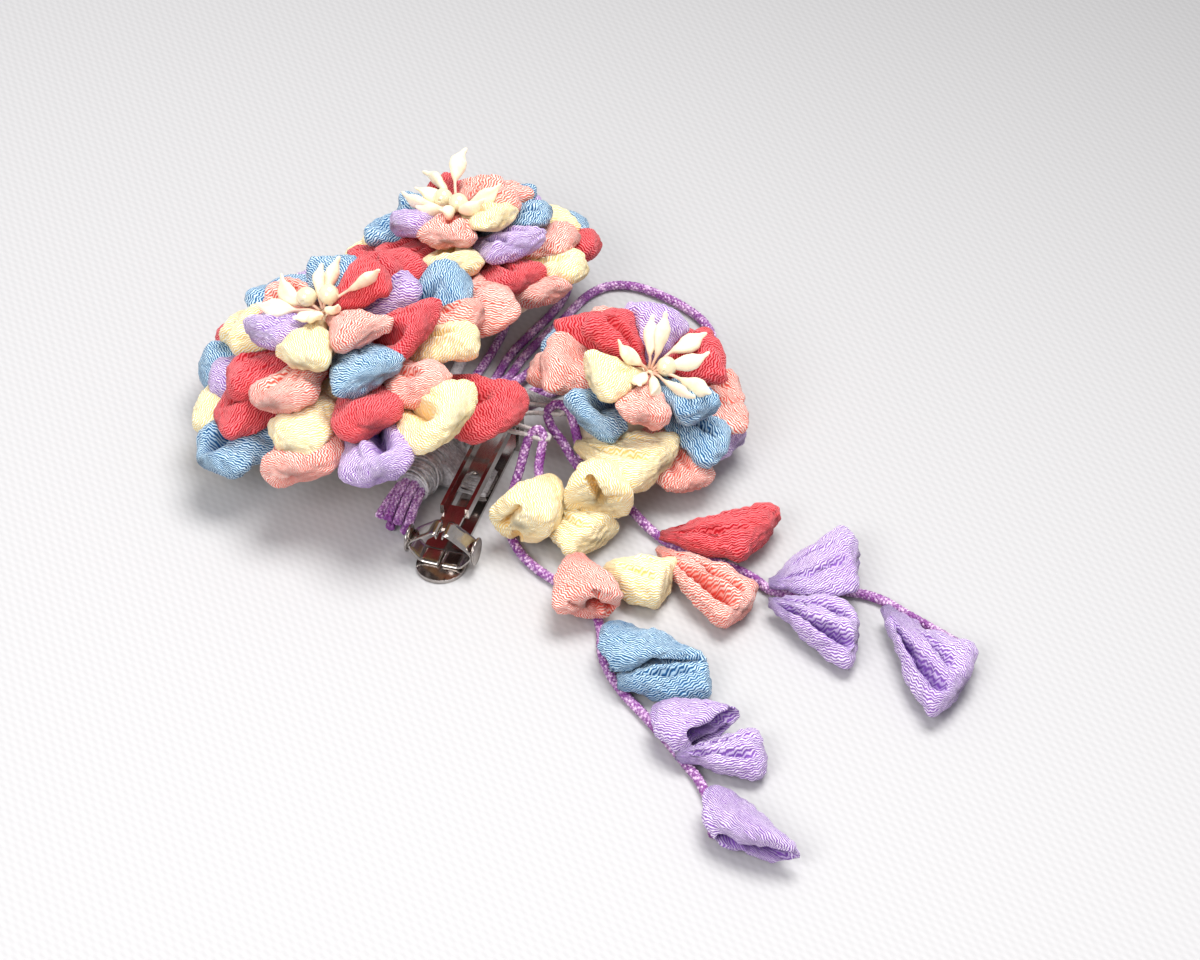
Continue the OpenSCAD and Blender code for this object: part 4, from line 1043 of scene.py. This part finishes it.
def flowerPetal(key, t, i, seed):  # petal i of tier t, where it stands in its flower
    look = petalLook
    tier = tiers[key][t]
    rootRadius, rootHeight, pitch, length, thick, angles = tier[:6]
    ahead, behind = sideRoom(angles, i, 1), sideRoom(angles, i, -1)
    dice = np.random.default_rng(seed + look["placeSeed"])
    which = (key, t, angles[i])
    common = commonFolds[dice.integers(len(commonFolds))]
    longer, wider, lifted, turned = petalTweaks.get(which, (1, 1, 0, 0))
    inset, rise = (look["crownInset"], look["crownLift"]) if t == 0 else (0, 0)
    steeper = {0: -look["crownDrop"], len(tiers[key]) - 1: look["rimLift"]}.get(t, 0)
    width = placeWidth(tier, (ahead + behind) / 2) * look["spread"] * wider
    size = (length * longer * dice.uniform(*look["longer"]) + inset, width, thick * look["swell"])
    shell = petalSkin(size, "flower", chosenFolds.get(which, common), look["step"], seed)
    jitter = dice.uniform(-1, 1, 3) * [look["turnJitter"], look["pitchJitter"], look["rollJitter"]]
    turn = turnAbout((0, 0, 1), angles[i] + (ahead - behind) / 2 + jitter[0] + turned)
    lift = turnAbout((0, 1, 0), -pitch - steeper - lifted - jitter[1]) @ turnAbout((1, 0, 0), jitter[2])
    root = [rootRadius - inset, 0, rootHeight + rise]
    return moved(shell, atFlower(key, (shell["points"] @ lift.T + root) @ turn.T))


def makeFlowerPetals():
    for n, (key, flowerTiers) in enumerate(tiers.items()):
        shells = {cloth: [] for cloth in clothLetters.values()}  # one piece for each colour
        for t, tier in enumerate(flowerTiers):
            for i, letter in enumerate(tier[6]):
                shells[clothLetters[letter]].append(flowerPetal(key, t, i, 1000 * n + 100 * t + i))
        for cloth, parts in shells.items():
            name = f"flower{key.upper()}Petals{cloth.capitalize()}"
            piece = meshPiece(name, parts, crepes[cloth], petalLook["floorGap"])
            finishPiece(piece, f"flower_{key}_petals_{cloth}")
        print("flower", key, "has its petals")


stringPetals = {  # cloth, root, length, heading, pitch, roll, width, thickness, slant, form, fold
    "string_1_petal_1": ("cream", (-5.2, -11.3, 7.2), 14, 260, 2, 12, 12.6, 10, 0, "mouth", "plain"),
    "string_1_petal_2": ("cream", (-6.5, -13.5, 3.9), 14.5, 330, 0, 0, 13, 6.6, 0, "tongue", "soft"),
    "string_1_petal_3": ("salmon", (3.7, -28.8, 6), 13, 301, 0, 0, 12.6, 7.4, 0, "mouth", "plain"),
    "string_1_petal_4": ("cream", (9.4, -27.6, 3.9), 12.2, 357, 0, 0, 11.6, 6.8, 0, "mouth", "soft"),
    "string_1_petal_5": ("blue", (15.6, -42.6, 5.0), 11.8, 294, 0, 0, 16, 7, 0.6, "mouth", "plain"),
    "string_1_petal_6": ("blue", (19.6, -53.8, 3.1), 16.0, 22, 0, 0, 10.4, 5.8, 0, "mouth", "twin"),
    "string_1_petal_7": ("lavender", (28.8, -59.4, 4.8), 10, 322, 0, 0, 14, 6.4, 0.37, "mouth", "plain"),
    "string_1_petal_8": ("lavender", (34.2, -68.2, 3), 15.4, 19, 0, 0, 10.6, 5.8, 0, "tongue", "twin"),
    "string_1_petal_9": ("lavender", (44.2, -75.6, 4.6), 10.6, 268, 0, 0, 15.2, 6.6, 0.92, "mouth", "plain"),
    "string_2_petal_1": ("cream", (2.4, -6.8, 9.8), 10.2, 283, -2, -6, 12.8, 11, 0, "mouth", "plain"),
    "string_2_petal_2": ("cream", (-3.4, -3.4, 10.4), 16.8, 342, 0, 0, 17.6, 7.2, 0.24, "tongue", "soft"),
    "string_2_petal_3": ("coral", (16.4, -15.6, 3.8), 17.8, 351, 4, 0, 15, 6.4, 0.5, "tongue", "twin"),
    "string_2_petal_4": ("salmon", (16.8, -19.2, 3.4), 22, 343, 1, 0, 12.4, 6.4, -0.24, "tongue", "tongue"),
    "string_2_petal_5": ("lavender", (38.4, -23, 4.2), 16.4, 19, 4, 0, 17.4, 5.4, 0.34, "tongue", "soft"),
    "string_2_petal_6": ("lavender", (39.4, -26.8, 3.4), 16.2, 12, 0, 0, 15.6, 6, -0.5, "tongue", "tongue"),
    "string_2_petal_7": ("lavender", (59.6, -22.8, 3.8), 24, 316, 0, 0, 16, 6.6, 0, "fan", "blade"),
}
mouthStrokes = {  # from and to across the far end in half sizes, then radius and depth in mm
    "string_1_petal_1": [(-0.6, -0.1, 0.0, 0.62, 0.55, 3.0), (-0.4, -0.95, -0.15, -0.5, 0.7, 2.0)],
    "string_1_petal_3": [(-0.55, 0.3, -0.4, 0.1, 0.42, 1.3), (0.05, 0.1, 0.62, -0.5, 0.62, 3.4),
                         (0.15, 0.75, 0.3, 0.5, 0.4, 0.9)],
    "string_1_petal_5": [(-0.8, -0.45, -0.15, 0.25, 0.6, 3.0), (-0.15, 0.25, 0.75, 0.15, 0.65, 3.4),
                         (-0.35, -0.55, 0.65, -0.35, 0.45, 2.4)],
    "string_1_petal_7": [(-0.45, 0.2, 0.7, 0.25, 1.0, 4.2), (-0.6, -0.5, 0.5, -0.45, 0.4, 2.2)],
    "string_1_petal_9": [(-0.75, -0.2, 0.8, -0.1, 0.7, 4.0)],
    "string_2_petal_1": [(-0.3, 0.8, 0.1, 0.05, 0.62, 3.2), (0.1, 0.05, 0.5, 0.35, 0.5, 1.4),
                         (0.2, -0.6, 0.6, -0.85, 0.5, 1.4)],
}


def makeStringPetals():
    look = petalLook
    petals = []
    for i, (node, values) in enumerate(stringPetals.items()):
        cloth, root, length, heading, pitch, roll, width, thick, slant, form, fold = values
        shell = petalSkin((length, width, thick), form, fold, look["stringStep"], look["stringSeed"] + i,
                          shear=look["fanShear"] if form == "fan" else 0.0, slant=slant,
                          grain=look["stringGrain"][i % 4], strokes=mouthStrokes.get(node, ()))
        turn = turnAbout((0, 0, 1), heading) @ turnAbout((0, 1, 0), -pitch) @ turnAbout((1, 0, 0), roll)
        shell = moved(shell, shell["points"] @ turn.T + root)
        words = node.split("_")
        piece = meshPiece(f"string{words[1]}Petal{words[3]}", [shell], crepes[cloth], look["floorGap"])
        finishPiece(piece, node)
        petals.append((f"string_{words[1]}_cord", piece))
    return petals


makeFlowerPetals()
makeStringPetals()
print("string petals are folded")

# Stamens, pearls and felts
stamens = {  # angle round the flower, reach outwards and height of the curled head
    "a": [(193, 12, 2.6), (160, 10.5, 2.6), (116, 8.6, 3.4), (88, 9.4, 3.4), (30, 12.6, 3.6), (252, 6, 2.6),
          (287, 5.6, 2.2), (322, 6.6, 2.6)],
    "b": [(135, 11, 4.5), (104, 11, 7), (196, 10, 3), (4, 9.3, 3.2), (322, 9, 2.8), (164, 7.4, 3.4),
          (236, 7.6, 2.6), (282, 7.5, 2.6)],
    "c": [(203, 7.5, 3.4), (128, 8, 5.2), (94, 7.5, 6.5), (60, 11, 5.6), (14, 9, 5.4), (344, 12.5, 5),
          (256, 8.5, 3.2), (288, 9.5, 3.4), (318, 11, 3.8)],
}
stamenLook = {
    "start": 0.7, "headLength": 7.6, "headShare": 0.8, "flat": 0.64, "groove": 0.4, "sides": 18, "step": 0.24,
    "radius": [0.27, 0.31, 0.75, 1.35, 1.72, 1.66, 0.95, 0.52, 0.46],
    "radiusAt": [0, 0.04, 0.16, 0.32, 0.48, 0.62, 0.77, 0.87, 1.0],
    "stalk": 0.26, "tip": [0.42, 0.34, 0.16], "stalkTint": 0.9,
    "bow": 1.0, "curl": (0.6, 2.2), "bend": (1.0, 2.4), "plump": (0.85, 1.1), "twist": (0.8, 2.6),
    "stalkAt": [0, 0.5, 1], "headAt": [0.3, 0.6, 0.82, 1.0], "above": 0.1, "fullHead": 12,
}
pearls = {"a": [(-3, 1.4), (1.4, 1.8)], "b": [(-2.7, 0.9), (1.2, -1.1)], "c": [(2.4, 0.5)]}
pearlLook = {"lift": 0.7, "sides": 40, "rings": 33, "wobble": 0.006, "hole": 0.12, "lip": 0.28, "tip": 78}


def stamenSkin(key, angle, reach, height, seed):
    look = stamenLook
    dice = np.random.default_rng(seed)
    span = reach - look["start"]
    whole = math.hypot(span, height)
    head = min(look["headLength"], look["headShare"] * whole) / whole
    side, curl = dice.uniform(-look["bow"], look["bow"]), dice.uniform(*look["curl"])
    bend = dice.choice([-1, 1]) * dice.uniform(*look["bend"])
    stalkAt, headAt = np.array(look["stalkAt"]), np.array(look["headAt"])
    share = np.concatenate([stalkAt * (1 - head), 1 - head + head * headAt])
    inHead = np.clip((share - 1 + head) / head, 0, 1)
    postHeight = flowerPlaces[key][4]
    rise = postHeight + look["above"] + height * np.sqrt(share) + curl * inHead ** 3
    sideways = side * np.sin(inHead * math.pi) + bend * inHead ** 3.5
    path = smoothPath(np.column_stack([look["start"] + span * share, sideways, rise]), look["step"])
    local = np.clip((np.linspace(0, 1, len(path)) - 1 + head) / head, 0, 1)
    plump = dice.uniform(*look["plump"]) * min(1.0, 0.5 + head * whole / look["fullHead"])
    radius = np.maximum(look["stalk"], easyCurve(look["radiusAt"], look["radius"], local) * plump)
    radius[-3:] = np.minimum(radius[-3:], look["tip"])
    swollen = smoothStep(0.0, 0.35, local)
    shell = tubeSkin(path, radius, look["sides"], flat=1 - (1 - look["flat"]) * swollen,
                     twist=dice.choice([-1, 1]) * dice.uniform(*look["twist"]) * local.max(),
                     groove=look["groove"] * swollen * (1 - smoothStep(0.85, 1, local)),
                     tint=look["stalkTint"] * (1 - smoothStep(0.0, 0.25, local)))
    turn = turnAbout((0, 0, 1), angle)
    return moved(shell, atFlower(key, shell["points"] @ turn.T))


def makeStamens(key, n):
    shells = [stamenSkin(key, *s, seed=700 + 20 * n + i) for i, s in enumerate(stamens[key])]
    piece = meshPiece(f"stamens{key.upper()}", shells, finishes["stamenGlaze"])
    finishPiece(piece, f"flower_{key}_stamens")


def makePearls(key):
    look = pearlLook
    postHeight = flowerPlaces[key][4]
    height = postHeight + pearlRadius + look["lift"]
    angles = np.radians(np.linspace(-80, 80, look["rings"]))
    low, *others, high = [(pearlRadius * math.cos(a), pearlRadius * math.sin(a)) for a in angles]
    bead = [(look["hole"], low[1] + 0.35), (look["lip"], low[1] + 0.03), low, *others, high,
            (look["lip"], high[1] - 0.03), (look["hole"], high[1] - 0.35)]
    shells = []
    for i, (x, y) in enumerate(pearls[key]):
        shell = latheSkin(bead, look["sides"], look["wobble"], seed=i)
        tip = turnAbout((math.cos(2.1 * i), math.sin(2.1 * i), 0), look["tip"])
        shells.append(moved(shell, atFlower(key, shell["points"] @ tip.T + [x, y, height])))
    piece = meshPiece(f"pearls{key.upper()}", shells, finishes["pearlGlaze"])
    finishPiece(piece, f"flower_{key}_pearls")


feltLook = {"thickness": 1.6, "round": 0.45, "sides": 120, "wobble": 0.004, "below": 0.2, "foot": 0.6,
            "top": 0.4}


def makeFelt(key, n):  # the round base with the post that stands on it
    look = feltLook
    radius, postHeight = flowerPlaces[key][3:]
    lowest = tiers[key][-1]
    top = lowest[1] - lowest[4] / 2 - look["below"]
    low = top - look["thickness"]
    mid, half = (top + low) / 2, look["thickness"] / 2
    edge = [(radius - look["round"] * (1 - math.cos(a)), mid + half * math.sin(a))
            for a in np.linspace(-math.pi / 2, math.pi / 2, 9)]
    inner = [(r * radius, low) for r in (0.02, 0.4, 0.75, 0.93)]
    outer = [(r * radius, top) for r in (0.93, 0.6, 0.3)]
    post = [(postRadius + look["foot"], top), (postRadius, top + look["foot"]),
            (postRadius, postHeight - look["top"]), (postRadius - look["top"], postHeight), (0.1, postHeight)]
    shell = latheSkin(inner + edge + outer + post, look["sides"], look["wobble"], seed=n)
    piece = meshPiece(f"felt{key.upper()}", [moved(shell, atFlower(key, shell["points"]))],
                      finishes["wovenFelt"])
    finishPiece(piece, f"flower_{key}_base")


def makeHearts():
    for n, key in enumerate(flowerPlaces):
        makeStamens(key, n)
        makePearls(key)
    for n, key in enumerate(flowerPlaces):
        makeFelt(key, n)


makeHearts()
print("stamens, pearls and felts are in place")

# Clip: the sheet-steel nodes keep their shape and get softened edges; the clasp is bent sheet
edgeLook = {"weld": 0.01 * mm, "width": 0.1 * mm, "segments": 2, "sharper": 40}
claspLook = {
    "middleX": -20.3, "nearY": -32.3, "length": 4.3, "sheet": 0.45, "bevel": 0.12, "step": 0.3, "across": 9,
    "line": [(0.3, 1.12), (2.2, 1.12), (3.7, 1.3), (4.9, 2.5), (5.9, 4.3), (5.5, 5.1), (3.2, 6.9), (1.4, 8.1),
             (0.75, 8.1), (0.6, 7.3)],
    "ear": [(0.05, 0.28), (1.2, 0.22), (2.1, 0.34), (2.5, 0.55), (2.62, 0.42), (2.5, 0.2), (2.0, -0.12),
            (1.0, -0.25), (0.05, -0.2)],
    "earReach": 6.0, "earHeight": 4.3, "earSides": 48,
}


def softenEdges(thing):
    weld = thing.modifiers.new("weld", "WELD")
    weld.merge_threshold = edgeLook["weld"]
    bevel = thing.modifiers.new("bevel", "BEVEL")
    bevel.width = edgeLook["width"]
    bevel.segments = edgeLook["segments"]
    bevel.limit_method = "ANGLE"
    bevel.angle_limit = math.radians(edgeLook["sharper"])
    bevel.harden_normals = True


def dressSteel(node):  # a CAD node gets the steel and its softened edges
    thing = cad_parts[node]
    if not thing.material_slots:
        thing.data.materials.append(finishes["nickelSteel"])
    for slot in thing.material_slots:
        slot.link = "OBJECT"
        slot.material = finishes["nickelSteel"]
    softenEdges(thing)


def sheetSkin(line):  # a bent strip of the clasp's sheet, with softened long edges
    look = claspLook
    length = look["length"]
    path = smoothPath([(x, 0, z) for x, z in line], look["step"])
    rings = []
    for p, out in zip(path, np.cross(tangents(path), [0, 1, 0])):
        corners = []
        for face, ends in ((1, (0, length)), (-1, (length, 0))):
            for y in np.linspace(*ends, look["across"]):
                inset = look["bevel"] if min(abs(y), abs(y - length)) < 1e-9 else 0
                corners.append(p + out * face * (look["sheet"] / 2 - inset) + [0, look["nearY"] + y, 0])
        rings.append(corners)
    return skin(np.array(rings), np.linspace(0, 12, len(path)), np.linspace(0, 14, 2 * look["across"] + 1))


def makeClasp():
    look = claspLook
    ear = latheSkin(look["ear"], look["earSides"])
    shells = []
    for way in (1, -1):
        leg = sheetSkin([(x * way, z) for x, z in look["line"]])
        shells.append(moved(leg, leg["points"] + [look["middleX"], 0, 0]))
        lean = turnAbout((0, 1, 0), 90 * way)
        x, y = look["middleX"] + look["earReach"] * way, look["nearY"] + look["length"] / 2
        shells.append(moved(ear, ear["points"] @ lean.T + [x, y, look["earHeight"]]))
    clasp = meshPiece("claspSpring", shells, finishes["nickelSteel"])
    finishPiece(clasp, "clip_clasp")
    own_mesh(clasp)


for steelNode in ("clip_plate", "clip_hinge_pin", "clip_arm"):
    dressSteel(steelNode)
makeClasp()
print("clip is finished")

floorLook = {  # a pale woven ground with painted shade: it darkens towards the back right, where the light falls off
    "half": 3, "drop": 0.02 * mm, "near": (0.553, 0.549, 0.554, 1.0), "far": (0.266, 0.265, 0.268, 1.0),
    "fadeFrom": -0.12, "fadeTo": 0.42, "fadeRight": 0.4,
    "heading": 54, "dotPitch": 1.5 * mm, "rowPitch": 3.9 * mm, "shade": 0.05,
    "bump": 0.05 * mm, "strength": 0.3,
    "shader": {"Roughness": 0.9, "Specular IOR Level": 0.1},
}


def floorMaterial():
    look = floorLook
    material, tree, shader = newMaterial("paleFloor", look["shader"])
    plus, times = sums(tree, "ADD", "MULTIPLY")
    place = put(tree, "ShaderNodeTexCoord").outputs["Object"]
    x, y = put(tree, "ShaderNodeSeparateXYZ", {0: place}).outputs[:2]
    # painted shade: the colour goes from near to far, standing in for the light falling off towards the back
    # right
    back = plus(y, times(x, look["fadeRight"]))
    lightFalloffShade = mapped(tree, back, look["fadeFrom"], look["fadeTo"], easing="SMOOTHSTEP")
    waves = []
    for heading, pitch in ((look["heading"], look["dotPitch"]), (look["heading"] + 90, look["rowPitch"])):
        xRate, yRate = (way(math.radians(heading)) * fullTurn / pitch for way in (math.cos, math.sin))
        waves.append(mathNode(tree, "SINE", plus(times(x, xRate), times(y, yRate))))
    weave = times(*waves)
    shade = plus(1.0, times(weave, look["shade"]))
    colour = scaled(tree, mixed(tree, lightFalloffShade, look["near"], look["far"]), shade)
    wireUp(tree, shader, colour, weave, look["bump"], look["strength"])
    return material


def makeFloor():
    half = floorLook["half"]
    mesh = bpy.data.meshes.new("floor")
    corners = [(-half, -half, 0), (half, -half, 0), (half, half, 0), (-half, half, 0)]
    mesh.from_pydata(corners, [], [(0, 1, 2, 3)])
    mesh.materials.append(floorMaterial())
    floor = newObject("floor", mesh)
    floor.location.z = -floorLook["drop"]


makeFloor()
print("scene is complete")
